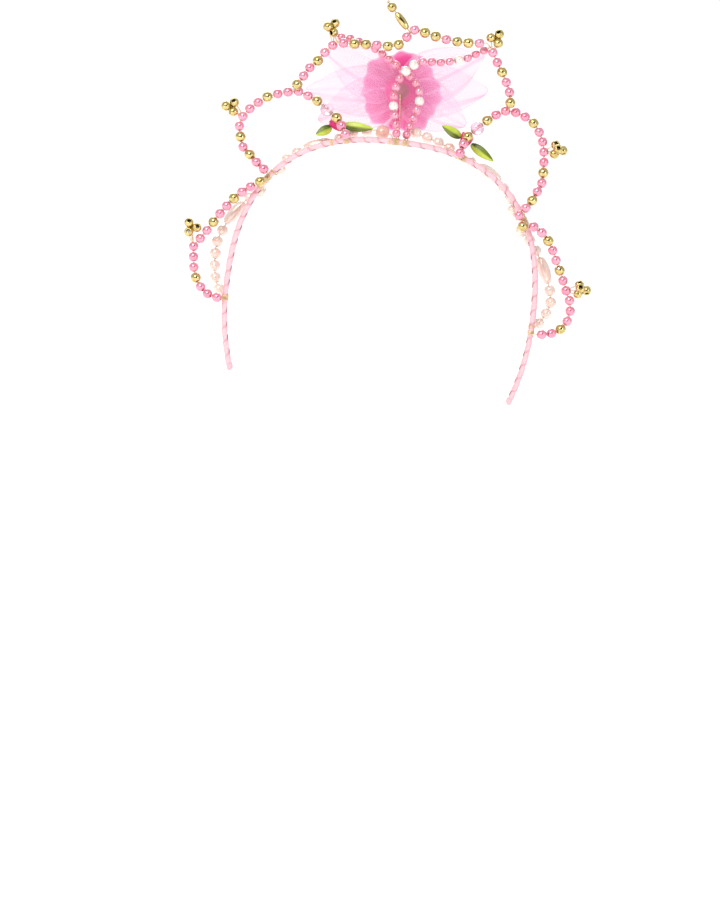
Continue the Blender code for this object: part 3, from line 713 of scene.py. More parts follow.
@dataclass(frozen=True)
class BeadShape:
    """A bored bead."""

    length: float
    diameter: float
    bore: float = 1.3
    sides: int = 12
    rings: int = 7

    def template(self) -> bpy.types.Mesh:
        """Spin the bead's profile about Z, its middle at the origin."""
        bm = bmesh.new()
        fullness = 3 / (2 + math.cos(2 * math.pi / self.sides))  # what rounding by subdivision takes away
        radius, bore = self.diameter / 2 * fullness, self.bore / 2 * fullness
        edge = math.asin(min(0.9, (bore + 0.15) / radius))
        profile = [(bore, self.length / 2 * 0.3)]
        for i in range(self.rings + 1):
            turn = edge + (math.pi - 2 * edge) * i / self.rings
            profile.append((radius * math.sin(turn), self.length / 2 * math.cos(turn) / math.cos(edge)))
        profile.append((bore, -self.length / 2 * 0.3))
        verts = [bm.verts.new((r * MM, 0.0, z * MM)) for r, z in profile]
        edges = [bm.edges.new(pair) for pair in zip(verts, verts[1:] + verts[:1])]
        bmesh.ops.spin(bm, geom=verts + edges, cent=(0, 0, 0), axis=(0, 0, 1), angle=2 * math.pi,
                       steps=self.sides, use_merge=True)
        bmesh.ops.remove_doubles(bm, verts=bm.verts, dist=1e-7)
        bmesh.ops.recalc_face_normals(bm, faces=bm.faces)
        # marks the inside of the bore, where the materials paint shade
        bored = bm.verts.layers.float.new("bore")
        for vert in bm.verts:
            inside = abs(vert.co.z) < self.length * 0.151 * MM and vert.co.xy.length < bore * 1.01 * MM
            vert[bored] = 1.0 if inside else 0.0
        return mesh_of(bm, "bead")


@dataclass(frozen=True)
class BeadPlace:
    """Where a bead sits: its middle and the way its bore points, in millimetres."""

    kind: str
    middle: Vector
    way: Vector


def bead_group(name: str, places: Sequence[BeadPlace], shapes: dict[str, BeadShape], finish: Finish,
               body: str = ROOT, tilt: float = 3.0) -> bpy.types.Object:
    """Make beads of one finish as one piece, each with a tone of its own.

    Args:
        name: The piece's name.
        places: The beads.
        shapes: The shape of each kind.
        finish: What they are finished in.
        body: The CAD body they move with.
        tilt: How far a bead leans on its wire, in degrees.

    Returns:
        The piece.
    """
    rng = random.Random(name)
    templates = {kind: shapes[kind].template() for kind in sorted({place.kind for place in places})}
    bm = bmesh.new()
    tone = bm.verts.layers.float.new("bead_tone")
    for place in places:
        first = len(bm.verts)
        bm.from_mesh(templates[place.kind])
        bm.verts.ensure_lookup_table()
        fresh = bm.verts[first:]
        axis = Vector([rng.uniform(-1, 1) for _ in range(3)]).normalized()
        lean = Matrix.Rotation(math.radians(rng.uniform(0, tilt)), 3, axis)
        turn = (lean @ place.way).to_track_quat("Z", "Y").to_matrix().to_4x4()
        size = Matrix.Scale(rng.uniform(0.975, 1.015), 4)
        spin = Matrix.Rotation(rng.uniform(0, math.pi), 4, "Z")
        bmesh.ops.transform(bm, matrix=Matrix.Translation(place.middle * MM) @ turn @ spin @ size,
                            verts=fresh)
        value = rng.uniform(0.25, 0.75)
        for vert in fresh:
            vert[tone] = value
    for template in templates.values():
        bpy.data.meshes.remove(template)
    return rounded(add_piece(name, mesh_of(bm, name), finish, body))


def cloth(name: str, steps: tuple[int, int], place: Callable[[float, float], Vector],
          size: tuple[float, float],
          marks: dict[str, Callable[[float, float, Vector], float]]) -> bpy.types.Mesh:
    """Shape a flat cut of cloth from a grid.

    Args:
        name: The mesh's name.
        steps: Faces along the cut and across it.
        place: The point, in millimetres, of each place (u, v) from 0 to 1 along and across the cut.
        size: The cut's length and width in millimetres, for its UV map.
        marks: Attributes to keep for the material, each from (u, v, point).

    Returns:
        The mesh, with a UV map in millimetres across and along the cut.
    """
    bm = bmesh.new()
    bmesh.ops.create_grid(bm, x_segments=steps[0], y_segments=steps[1], size=0.5)
    layers = {mark: bm.verts.layers.float.new(mark) for mark in marks}
    flat = bm.loops.layers.uv.new("UVMap")
    cut = {vert: (vert.co.x + 0.5, vert.co.y + 0.5) for vert in bm.verts}
    for face in bm.faces:
        for loop in face.loops:
            u, v = cut[loop.vert]
            loop[flat].uv = (v * size[1], u * size[0])
    for vert, (u, v) in cut.items():
        point = place(u, v)
        vert.co = point * MM
        for mark, value in marks.items():
            vert[layers[mark]] = value(u, v, point)
    return mesh_of(bm, name)


def thickened(piece: bpy.types.Object, thick: float) -> bpy.types.Object:
    """Give a piece of cloth its thickness.

    Args:
        piece: The cloth.
        thick: Its thickness in millimetres.

    Returns:
        The piece.
    """
    wall = piece.modifiers.new("cloth", "SOLIDIFY")
    wall.thickness = thick * MM
    wall.offset = 0.0
    return piece


# --- The headband ------------------------------------------------------------------------------------


@dataclass
class RibbonWrap:
    """One satin ribbon wound round the spring band from tip to tip, each turn over the edge of the last."""

    width: float = 10.0
    pitch: float = 7.0
    thick: float = 0.16
    lap: float = 0.42  # how far a turn's edge stands on the last turn
    flex_reach: float = 5.0  # how far from a flex point the ribbon would bend; the points it gives are worked out but not used
    tip_cover: float = 3.2  # length under the glued tip
    turn_steps: int = 26
    section: Line = field(init=False)

    def __post_init__(self) -> None:
        """Measure the section that the ribbon goes round, as (0, y, h)."""
        steps = 96
        points = []
        for i in range(steps + 1):
            turn = 2 * math.pi * i / steps
            across, up = math.sin(turn), -math.cos(turn)
            points.append((0.0, math.copysign(abs(across) ** 0.4, across) * (BAND.half_w - self.lap),
                           math.copysign(abs(up) ** 0.4, up) * (BAND.half_t - self.lap)))
        self.section = Line(points)

    def spot(self, along: float, across: float) -> Vector:
        """Find where a place of the flat ribbon lies.

        Args:
            along: Length along the ribbon from its middle.
            across: Distance from the ribbon's middle line.

        Returns:
            The point.
        """
        slope = math.atan(self.pitch / self.section.length)
        around = along * math.cos(slope) - across * math.sin(slope)
        s = along * math.sin(slope) + across * math.cos(slope)
        s += 0.35 * noise.noise(Vector((along / 21, 0.3, 0.7)))  # hand-wound, so the turns differ a little
        middle, way = self.section.at(around % self.section.length)
        lapped = min(1.0, max(0.0, (self.pitch / 2 - self.width / 2 + 1.0 - across) / 1.2 + 0.5))
        crease = 0.05 * noise.noise(Vector((along / 2.5, across / 2, 4.0)))
        lift = self.lap * lapped + crease
        out = Vector((0.0, way.z, -way.y))
        return BAND.at(s, middle.z + out.z * lift, middle.y + out.y * lift)[0]

    def half(self, word: str, side: float) -> bpy.types.Object:
        """Wind the half of the ribbon on one side of the band's top.

        Args:
            word: "left" or "right".
            side: 1 for the wearer's left, -1 for the right.

        Returns:
            The piece.
        """
        slope = math.atan(self.pitch / self.section.length)
        length = (BAND.line.length + self.width) / math.sin(slope)
        steps = round(length / self.section.length * self.turn_steps)

        def place(u: float, v: float) -> Vector:
            return self.spot(side * (u * length - self.width), (v - 0.5) * self.width)

        mesh = cloth(f"ribbon_{word}", (steps, 9), place, (length, self.width), {"fold_and_shading": self.edge_shade})
        bm = bmesh.new()
        bm.from_mesh(mesh)
        tip, _ = BAND.at(side * (BAND.line.length - self.tip_cover), 0.0, 0.0)
        before, _ = BAND.at(side * (BAND.line.length - self.tip_cover - 1.0), 0.0, 0.0)
        for point, normal in ((Vector(), Vector((-side, 0.0, 0.0))), (tip, (tip - before).normalized())):
            parts = bm.verts[:] + bm.edges[:] + bm.faces[:]
            bmesh.ops.bisect_plane(bm, geom=parts, plane_co=point * MM, plane_no=normal, clear_outer=True)
        bm.to_mesh(mesh)
        bm.free()
        mesh.shade_smooth()
        piece = thickened(add_piece(f"ribbon_{word}", mesh, Finish.BAND_SATIN, None), self.thick)
        start = BAND.at(side * (BAND.flex_s - self.flex_reach), 0.0, 0.0)[0]
        end = BAND.at(side * (BAND.flex_s + self.flex_reach), 0.0, 0.0)[0]
        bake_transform(piece)
        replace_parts(piece, f"arm_wrap_{word}", "satin_wrap")
        return piece

    @staticmethod
    def edge_shade(u: float, v: float, point: Vector) -> float:
        """Paint shade along both edges of the ribbon, where the turns lap."""
        return 0.35 * max(0.0, abs(2 * v - 1) - 0.9) / 0.1

    def tip(self, word: str, side: float) -> bpy.types.Object:
        """Fold the ribbon's end over the band's tip, glued down.

        Args:
            word: "left" or "right".
            side: 1 for the wearer's left, -1 for the right.

        Returns:
            The piece.
        """
        end = BAND.line.length
        foot, out = BAND.at(side * (end - self.tip_cover / 2 - 0.3), 0.0, 0.0)
        tip, _ = BAND.at(side * end, 0.0, 0.0)
        way = (tip - foot).normalized()
        turn = Matrix((Vector((0, 1, 0)), out, way)).transposed().to_4x4()
        bm = bmesh.new()
        flap = (BAND.half_w * 1.7, 0.5, self.tip_cover - 0.9)
        for size, rise in (((BAND.half_w * 2, BAND.half_t * 2, self.tip_cover + 0.6), 0.0),
                           (flap, -BAND.half_t)):
            made = bmesh.ops.create_cube(bm, size=1.0)["verts"]
            bmesh.ops.scale(bm, vec=size, verts=made)
            bmesh.ops.translate(bm, vec=(0.0, rise, 0.0), verts=made)
            edges = list({edge for vert in made for edge in vert.link_edges})
            bmesh.ops.bevel(bm, geom=made + edges, offset=min(size) * 0.36, offset_type="OFFSET", segments=3,
                            profile=0.5, affect="EDGES", material=-1)
        bmesh.ops.transform(bm, matrix=Matrix.Translation(foot) @ turn, verts=bm.verts)
        bmesh.ops.scale(bm, vec=(MM, MM, MM), verts=bm.verts)
        bmesh.ops.recalc_face_normals(bm, faces=bm.faces)
        fold_and_shading = bm.verts.layers.float.new("fold_and_shading")
        flat = bm.loops.layers.uv.new("UVMap")
        for face in bm.faces:
            for loop in face.loops:
                place = loop.vert.co / MM - foot
                loop[flat].uv = (place.y, place.dot(way))
        for vert in bm.verts:
            vert[fold_and_shading] = 0.12
        piece = rounded(add_piece(f"ribbon_tip_{word}", mesh_of(bm, "ribbon_tip"), Finish.BAND_SATIN,
                                  f"{word}_arm"))
        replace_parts(piece, f"end_cap_{word}")
        return piece

    def build(self) -> None:
        """Wind the ribbon, cover the tips and finish the steel inside."""
        for word, side in (("left", 1.0), ("right", -1.0)):
            self.half(word, side)
            self.tip(word, side)
            Finish.STEEL.put_on(frame["nodes"][f"arm_core_{word}"])
        Finish.STEEL.put_on(frame["nodes"]["headband_core"])


@dataclass
class Bindings:
    """Fine brass wire wound round the ribbon where strands are fastened."""

    wire_r: float = 0.2
    pitch: float = 0.42
    turn_steps: int = 20
    wound: dict[str, tuple[float, int]] = field(default_factory=lambda: {
        "binding_outer_left": (71.4, 6), "binding_inner_left": (26.4, 6),
        "binding_inner_right": (-30.6, 6), "binding_outer_right": (-76.8, 6),
        "binding_flower": (0.8, 3), "binding_chain_left": (-2.6, 2), "binding_chain_right": (2.9, 2),
        "binding_low_left": (135.2, 4), "binding_low_right": (-134.0, 4),
    })

    def build(self) -> None:
        """Wind each binding. The four that carry arches stand for solids of their own."""
        for name, (s, turns) in self.wound.items():
            steps = turns * self.turn_steps
            points = []
            for i in range(steps + 1):
                run = (i / steps - 0.5) * turns
                wave = 0.06 * noise.noise(Vector((run * 2.3, s, 0.5)))
                points.append(BAND.round_it(s + run * self.pitch + wave, 2 * math.pi * run,
                                            self.wire_r + wave))
            piece = wire(name, points, self.wire_r)
            if name in frame["nodes"]:
                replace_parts(piece, name)


# --- Strands, tips and finial ------------------------------------------------------------------------


PEARL_SHAPES = {
    "p": BeadShape(5.0, 5.0),
    "g": BeadShape(5.3, 5.3, 1.5),
    "q": BeadShape(4.3, 4.3, 1.1),
    "w": BeadShape(4.9, 4.9),
    "i": BeadShape(5.7, 5.7),
    "o": BeadShape(15.0, 6.2, 1.4, rings=10),
}
GROUPS = {
    "pink_pearls": ("pq", Finish.PINK_PEARL),
    "gold_beads": ("g", Finish.GOLD),
    "cream_pearls": ("w", Finish.CREAM_PEARL),
    "ivory_pearls": ("io", Finish.IVORY_PEARL),
}
LOOSE_END_CLEAR = 0.36
LOOSE_LENGTHS = {"C": 6.6, "P": 7.4}


@dataclass
class Strand:
    """A hand-bent wire with its beads: the route is a list of band places, the pattern the beads in order."""

    name: str
    route: list[BandPlace]
    pattern: str
    wire_r: float = 0.3
    line: Line = field(init=False)
    beads: list[BeadPlace] = field(init=False)

    def __post_init__(self) -> None:
        """Run the wire and string the beads."""
        self.line = smooth_line([BAND.at(*place)[0] for place in self.route])
        self.beads = []
        for kind, middle, length in self.strung():
            ends = [self.line.at(middle + side * length / 2)[0] for side in (-1, 1)]
            if kind in LOOSE_LENGTHS:
                self.beads.append(BeadPlace(kind, (ends[0] + ends[1]) / 2, (ends[1] - ends[0]).normalized()))
            else:
                self.beads.append(BeadPlace(kind, *self.line.at(middle)))

    def strung(self) -> list[tuple[str, float, float]]:
        """Fit beads on the wire.

        Returns:
            For each bead its kind, the length along the wire to its middle, and its own length.
        """
        lengths = {kind: shape.length for kind, shape in PEARL_SHAPES.items()}
        lengths |= {kind: long + 2 * LOOSE_END_CLEAR for kind, long in LOOSE_LENGTHS.items()}
        kinds, used = [], 0.0
        while used + lengths[self.pattern[len(kinds) % len(self.pattern)]] <= self.line.length:
            kinds.append(self.pattern[len(kinds) % len(self.pattern)])
            used += lengths[kinds[-1]]
        slack = (self.line.length - used) / len(kinds)
        beads, start = [], 0.0
        for kind in kinds:
            beads.append((kind, start + (lengths[kind] + slack) / 2, lengths[kind]))
            start += lengths[kind] + slack
        return beads

    def build(self) -> None:
        """Make the wire and one piece for each kind of bead."""
        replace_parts(wire(f"{self.name}_wire", self.line.points[::2] + self.line.points[-1:], self.wire_r),
                    self.name)
        for word, (kinds, finish) in GROUPS.items():
            places = [bead for bead in self.beads if bead.kind in kinds]
            if places:
                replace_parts(bead_group(f"{self.name}_{word}", places, PEARL_SHAPES, finish), self.name)


def routes() -> list[Strand]:
    """List the strands, hand-bent, so that the two sides differ.

    Returns:
        The strands, each with its wire's route and its beads.
    """
    return [
        Strand("side_arch_left", [
            (72.2, 0.2, REAR), (78.6, 3.2, REAR - 0.3), (86.6, 7.2, 4.6), (95.7, 10.6, 2.2),
            (104.9, 14.2, 0.6),
            (110.0, 16.9, 0.0), (113.8, 19.2, 0.0), (118.2, 18.3, 0.0), (124.0, 17.0, 0.4),
            (128.6, 15.0, 1.4),
            (132.6, 11.4, 3.2), (135.0, 7.2, 5.0), (136.2, 1.4, LOW_REAR)], "gppgppgpppppgppp"),
        Strand("side_arch_right", [
            (-79.2, -4.6, REAR), (-80.0, -1.2, REAR), (-82.6, 4.2, REAR - 0.4), (-90.2, 8.6, 4.4),
            (-99.5, 11.0, 2.2), (-108.5, 14.0, 0.6), (-114.4, 16.2, 0.0), (-118.2, 17.9, 0.0),
            (-123.2, 18.1, 0.0), (-128.2, 16.4, 1.0), (-131.8, 12.6, 2.8), (-133.6, 7.6, 5.0),
            (-134.4, 2.8, LOW_REAR)], "gppgppgpppppgpp"),
        Strand("middle_arch_left", [
            (69.0, 1.8, REAR), (69.3, 8.6, 5.4), (69.0, 13.6, 3.6), (69.1, 18.4, 2.0), (67.2, 23.2, 1.0),
            (64.8, 28.2, 0.0), (61.2, 31.2, 0.0), (57.0, 32.0, 0.0), (51.6, 32.3, 0.0), (46.6, 30.7, 0.0),
            (42.2, 29.1, 0.0), (39.4, 25.8, 0.0), (36.7, 22.4, 0.6), (30.3, 12.5, 2.6), (28.6, 8.9, 5.0),
            (27.2, 4.9, REAR - 0.6), (25.6, 0.4, REAR)], "ppgpgppppgppppgCgppp"),
        Strand("middle_arch_right", [
            (-75.0, -3.8, REAR), (-73.8, -1.0, REAR), (-72.2, 3.0, REAR), (-70.7, 7.4, 5.6),
            (-68.7, 11.6, 4.0),
            (-67.0, 15.7, 2.6), (-64.3, 19.2, 1.4), (-61.4, 22.7, 0.4), (-58.2, 26.6, 0.0),
            (-55.0, 30.0, 0.0),
            (-49.9, 33.3, 0.0), (-44.4, 33.2, 0.0), (-39.8, 31.0, 0.0), (-37.4, 27.0, 0.0),
            (-35.5, 22.8, 0.6),
            (-31.0, 11.4, 2.6), (-30.4, 7.4, 5.0), (-30.2, 3.4, REAR - 0.4), (-30.8, -1.0, REAR)],
            "ppgppgppppgppppgCgppp"),
        Strand("top_arch_left", [
            (43.0, 30.5, JOINT), (40.2, 33.3, 4.4), (36.6, 38.0, 2.6), (33.3, 41.0, 1.0), (30.6, 44.6, 0.0),
            (26.6, 49.2, 0.0)], "gppgpp"),
        Strand("top_arch_right", [
            (-39.9, 32.4, JOINT), (-39.2, 35.4, 4.4), (-37.0, 40.4, 2.6), (-32.8, 46.7, 1.0),
            (-29.4, 51.7, 0.0),
            (-27.0, 56.0, 0.0)], "gppgpp"),
        Strand("top_chain", [
            (26.2, 48.5, CHAIN), (21.4, 47.5, CHAIN), (13.9, 47.1, CHAIN), (8.0, 46.8, CHAIN),
            (5.2, 48.2, CHAIN),
            (2.7, 51.9, CHAIN), (0.6, 55.2, CHAIN), (-1.8, 56.6, CHAIN), (-5.5, 55.3, CHAIN),
            (-13.4, 53.9, CHAIN), (-20.2, 54.8, CHAIN), (-24.9, 57.0, CHAIN)], "pggpggppggpggp"),
        Strand("inner_chain_left", [
            (26.4, 51.8, -3.2), (22.2, 50.4, -3.2), (15.1, 46.1, -3.2), (8.7, 40.7, -3.2), (1.6, 34.9, -3.2),
            (-3.0, 31.6, -3.2), (-5.8, 27.0, -3.0), (-6.7, 21.5, -2.8), (-5.8, 15.5, -2.7), (-4.2, 9.4, -2.6),
            (-2.6, 1.9, -2.6)], "qqqqqqqqqqqqwqqqq"),
        Strand("inner_chain_right", [
            (-26.4, 55.2, -3.2), (-23.6, 51.0, -3.0), (-21.0, 47.4, -2.0), (-17.8, 44.9, 0.0),
            (-12.5, 42.3, 1.2),
            (-6.5, 41.3, 2.2), (-1.9, 38.6, 2.8), (1.9, 34.2, 2.8), (4.1, 29.5, 2.8), (5.1, 22.5, 2.8),
            (4.7, 16.5, 2.8), (3.2, 10.4, 2.8), (1.6, 1.9, 2.8)], "qqqwqqqqwwqqqwqqq"),
        Strand("ivory_top_left", [
            (4.4, 3.2, FRONT), (8.6, 4.9, FRONT), (14.4, 4.8, FRONT), (20.4, 4.0, FRONT), (26.6, 2.6, FRONT),
            (33.0, 0.4, FRONT)], "Piiii"),
        Strand("ivory_top_right", [
            (-4.6, 6.6, FRONT), (-13.4, 4.5, FRONT), (-19.2, 3.4, FRONT), (-25.2, 2.2, FRONT),
            (-33.6, 0.4, FRONT)], "iiiii"),
        Strand("ivory_middle_left", [
            (33.6, 0.0, FRONT), (41.4, 1.0, FRONT), (53.4, 1.2, FRONT), (60.0, 0.4, FRONT),
            (66.4, -2.2, FRONT)], "oiii"),
        Strand("ivory_middle_right", [
            (-34.2, 0.2, FRONT), (-48.1, 0.6, FRONT), (-57.8, 0.0, FRONT), (-64.2, -0.6, FRONT),
            (-73.2, -3.6, FRONT)], "ioiii"),
        Strand("ivory_low_left", [
            (76.6, -3.2, FRONT), (83.0, 1.2, FRONT), (97.4, 5.9, FRONT), (108.2, 8.4, FRONT),
            (115.0, 8.2, FRONT), (121.8, 7.2, FRONT), (128.6, 5.6, FRONT), (134.4, 2.0, FRONT)], "iioiiiiii"),
        Strand("ivory_low_right", [
            (-79.8, -4.8, FRONT), (-89.0, 0.4, FRONT), (-103.1, 4.8, FRONT), (-112.6, 7.6, FRONT),
            (-119.4, 8.4, FRONT), (-125.8, 5.8, FRONT), (-131.6, 2.0, FRONT)], "iiioiiiii"),
    ]


@dataclass
class WireEnds:
    """The ends of the strands' wires: round the band where they start on it, or hooked on another strand."""

    strands: list[Strand]
    wire_r: float = 0.24
    low: float = 8.0  # an end lower than this above the band belongs on the band
    turns: float = 1.6
    turn_steps: int = 16

    def to_band(self, end: Vector, way: Vector, place: BandPlace) -> list[Vector]:
        """Lead an end to the band and wind it on.

        Args:
            end: The strand's end.
            way: The direction past it.
            place: The end's band place.

        Returns:
            The wire's middle line.
        """
        s, _, y = place
        start = math.copysign(math.pi / 2, y)
        wound = [BAND.round_it(s + 0.55 * run / self.turn_steps, start + 2 * math.pi * run / self.turn_steps,
                               self.wire_r) for run in range(round(self.turns * self.turn_steps) + 1)]
        reach = (wound[0] - end).length
        bend = (end + wound[0]) / 2 + way * 0.2 * reach
        lead = smooth_line([end, bend, wound[0]], 6)
        return lead.points[:-1] + wound

    def to_strand(self, end: Vector, way: Vector, own: Strand) -> list[Vector]:
        """Hook an end on the nearest wire of another strand.

        Args:
            end: The strand's end.
            way: The direction past it.
            own: The strand that it ends.

        Returns:
            The wire's middle line.
        """
        others = [point for strand in self.strands if strand is not own for point in strand.line.points]
        target = min(others, key=lambda point: (point - end).length)
        return smooth_line([end, end + way * 0.8, target], 5).points

    def build(self) -> None:
        """Finish both ends of every strand."""
        for strand in self.strands:
            line = strand.line
            ends = {
                "start": (line.at(0.0)[0], -line.at(0.0)[1], strand.route[0]),
                "end": (line.at(line.length)[0], line.at(line.length)[1], strand.route[-1]),
            }
            for word, (end, way, place) in ends.items():
                on_band = place[1] < self.low
                points = self.to_band(end, way, place) if on_band else self.to_strand(end, way, strand)
                wire(f"{strand.name}_wire_{word}", points, self.wire_r)


@dataclass
class GoldTips:
    """Clusters of four bored gold beads, wired on the arches' peaks."""

    strands: dict[str, Strand]
    diameter: float = 4.8
    pitch: float = 4.6
    swell: float = 1.06
    clear: float = 0.3
    reach: float = 16.0
    bore: float = 1.7
    wire_r: float = 0.26
    # strand and bead that a tip sits on, the way out from it and the way that its fourth bead points
    seats: dict[str, tuple[str, int, BandPlace, BandPlace]] = field(default_factory=lambda: {
        "side_tip_left": ("side_arch_left", 9, (0.3, 0.0, 0.95), (-0.9, 0.4, 0.1)),
        "middle_tip_left": ("middle_arch_left", 6, (0.84, 0.0, 0.54), (0.1, -1.0, 0.0)),
        "top_tip_left": ("top_arch_left", 5, (0.15, 0.0, 0.99), (0.6, -0.8, 0.1)),
        "top_tip_right": ("top_arch_right", 5, (-0.1, 0.0, 1.0), (0.0, -1.0, 0.0)),
        "middle_tip_right": ("middle_arch_right", 7, (-0.96, 0.0, 0.28), (0.0, 1.0, 0.1)),
        "side_tip_right": ("side_arch_right", 8, (-0.98, 0.0, 0.18), (0.2, 0.9, 0.2)),
    })

    def seat_distance(self, balls: Sequence[Vector], way: Vector) -> float:
        """Find how far the balls go along way to clear every bead."""
        far = 0.0
        for strand in self.strands.values():
            for bead in strand.beads:
                size = PEARL_SHAPES[bead.kind].diameter if bead.kind in PEARL_SHAPES else 6.8
                reach = self.swell * self.diameter / 2 + self.clear + size / 2
                for ball in balls:
                    apart = ball - bead.middle
                    along = apart.dot(way)
                    room = reach**2 - (apart.length_squared - along**2)
                    if room > 0 and apart.length < self.reach:
                        far = max(far, math.sqrt(room) - along)
        return far

    def build(self) -> None:
        """Set each tip's beads and the wire through them."""
        shapes = {"t": BeadShape(self.diameter * 0.98, self.diameter, self.bore)}
        for name, (strand, over, way, point) in self.seats.items():
            seat = self.strands[strand].beads[over].middle
            out, axis = Vector(way).normalized(), Vector(point).normalized()
            first, second = axis.to_track_quat("Z", "Y").to_matrix().transposed()[:2]
            ring_r = self.pitch / math.sqrt(3)
            ring = [(first * math.cos(2 * math.pi * i / 3) + second * math.sin(2 * math.pi * i / 3)) * ring_r
                    for i in range(3)]
            balls = [seat + arm for arm in ring] + [seat + axis * self.pitch * math.sqrt(2 / 3)]
            far = self.seat_distance(balls, out)
            balls = [ball + out * far for ball in balls]
            ways = [(arm.cross(axis) + axis * 0.8 + arm * 0.3).normalized() for arm in ring]
            ways.append((first + second * 0.4 + axis * 0.7).normalized())
            away = Vector((0.1, 1.0, 0.3))
            ways = [bore.lerp(away, 0.75 * (i % 2)).normalized() for i, bore in enumerate(ways)]
            beads = [BeadPlace("t", ball, bore) for ball, bore in zip(balls, ways)]
            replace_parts(bead_group(name + "_beads", beads, shapes, Finish.GOLD), name)
            path = [seat, balls[0], balls[3], balls[1], seat, balls[2], balls[3]]
            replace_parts(wire(name + "_wire", smooth_line(path, 4).points, self.wire_r), name)


@dataclass
class LooseBeads:
    """The crystals and the peach bead, which turn on their wires."""

    strands: dict[str, Strand]
    crystal: BeadShape = BeadShape(6.6, 6.8, 1.5, sides=10, rings=5)
    peach: BeadShape = BeadShape(7.4, 7.6, 1.6, sides=16)

    def build(self) -> None:
        """Cut the crystals and dress the peach bead."""
        for word in ("left", "right"):
            bead = next(b for b in self.strands[f"middle_arch_{word}"].beads if b.kind == "C")
            bm = bmesh.new()
            bm.from_mesh(self.crystal.template())
            turn = bead.way.to_track_quat("Z", "Y").to_matrix().to_4x4()
            bmesh.ops.triangulate(bm, faces=bm.faces, quad_method="ALTERNATE")
            bmesh.ops.transform(bm, matrix=Matrix.Translation(bead.middle * MM) @ turn, verts=bm.verts)
            name = f"cut_crystal_{word}"
            piece = add_piece(name, mesh_of(bm, name, smooth=False), Finish.CRYSTAL, f"crystal_{word}")
            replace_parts(piece, f"crystal_{word}")
        bead = self.strands["ivory_top_left"].beads[0]
        piece = bead_group("peach_resin_bead", [BeadPlace("P", bead.middle, bead.way)], {"P": self.peach},
                           Finish.PEACH, "peach_bead", tilt=0.0)
        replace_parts(piece, "peach_bead")


@dataclass
class Finial:
    """An oval and a round gold bead on a wire that leans from the top chain."""

    chain: Strand
    after: int = 6  # the chain's bead before its foot
    lean: float = 43.0
    start: float = 2.0
    spacer: float = 0.5
    wire_r: float = 0.35
    oval: BeadShape = BeadShape(10.4, 4.2, 1.4, rings=10)
    ball: BeadShape = BeadShape(5.0, 5.0, 1.4)
    crimp: BeadShape = BeadShape(1.2, 1.7, 0.72, sides=10, rings=4)

    def build(self) -> None:
        """Stand the wire on the chain and thread the two beads and their stop."""
        foot = (self.chain.beads[self.after].middle + self.chain.beads[self.after + 1].middle) / 2
        lean = math.radians(self.lean)
        way = Vector((math.sin(lean), 0.0, math.cos(lean)))
        oval_at = self.start + self.spacer + self.oval.length / 2
        ball_at = oval_at + self.oval.length / 2 + self.spacer + self.ball.length / 2
        end = ball_at + self.ball.length / 2 + 0.3
        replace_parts(wire("finial_wire", [foot, foot + way * (end + 1.0)], self.wire_r), "finial_stem")
        stop = [BeadPlace("c", foot + way * (end + 0.6), way)]
        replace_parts(bead_group("finial_crimp", stop, {"c": self.crimp}, Finish.WIRE), "finial_stem")
        for node, shape, at in (("finial_oval", self.oval, oval_at), ("finial_ball", self.ball, ball_at)):
            place = [BeadPlace("b", foot + way * at, way)]
            piece = bead_group(node + "_bead", place, {"b": shape}, Finish.GOLD, node, tilt=0.0)
            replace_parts(piece, node)


# --- Flower and rosebuds -----------------------------------------------------------------------------


@dataclass(frozen=True)
class RolledRibbon:
    """A ribbon rolled up to a bud: each turn outside the last, pinched at the foot, flared at the lip."""

    radius: float
    height: float
    turns: float
    lip: float  # how far the outer turns flare
    thick: float = 0.14
    allowance: float = 1.1  # the strip's width, over the bud's height, for what is gathered into the foot

    def spot(self, u: float, v: float) -> Vector:
        """Find a place of the roll, about Z with its foot at the origin.

        Args:
            u: Share of the length, 0 at the heart.
            v: Share of the width, 0 at the foot.

        Returns:
            The point.
        """
        turn = 2 * math.pi * self.turns * u**0.8
        reach = self.radius * (0.14 + 0.86 * u)
        belly = math.sin(math.pi * min(1.0, 0.1 + 0.56 * v)) ** 0.8
        flare = self.lip * u**2 * max(0.0, v - 0.62) / 0.38
        wave = 0.06 * self.radius * math.sin(3.0 * turn + 5.0 * v) * v * u
        radius = reach * belly * (1.0 + flare) + wave
        lip_drop = 0.1 * self.height * max(0.0, v - 0.75) * 4 * flare + 0.14 * self.height * u**3 * v
        height = self.height * v * (1.0 + 0.05 * math.sin(2.3 * turn)) - lip_drop
        return Vector((radius * math.cos(turn), radius * math.sin(turn), height))

    def build(self, name: str, matrix: Matrix, finish: Finish, node: str) -> bpy.types.Object:
        """Roll the ribbon.

        Args:
            name: The piece's name.
            matrix: Where the foot goes, in millimetres.
            finish: What it is finished in.
            node: The solid that it stands for.

        Returns:
            The piece.
        """
        length = 2 * math.pi * self.turns * self.radius * 0.5
        width = self.height * self.allowance

        def inner_shade(u: float, v: float, point: Vector) -> float:
            return 0.75 * (1 - u) * (1 - v) + 0.35 * (1 - v) ** 2

        def from_heart(u: float, v: float, point: Vector) -> float:
            return 0.1 + 0.2 * v

        mesh = cloth(name, (round(self.turns * 22), 12), lambda u, v: matrix @ self.spot(u, v),
                     (length, width),
                     {"fold_and_shading": inner_shade, "from_heart": from_heart})
        piece = thickened(add_piece(name, mesh, finish), self.thick)
        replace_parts(piece, node)
        return piece


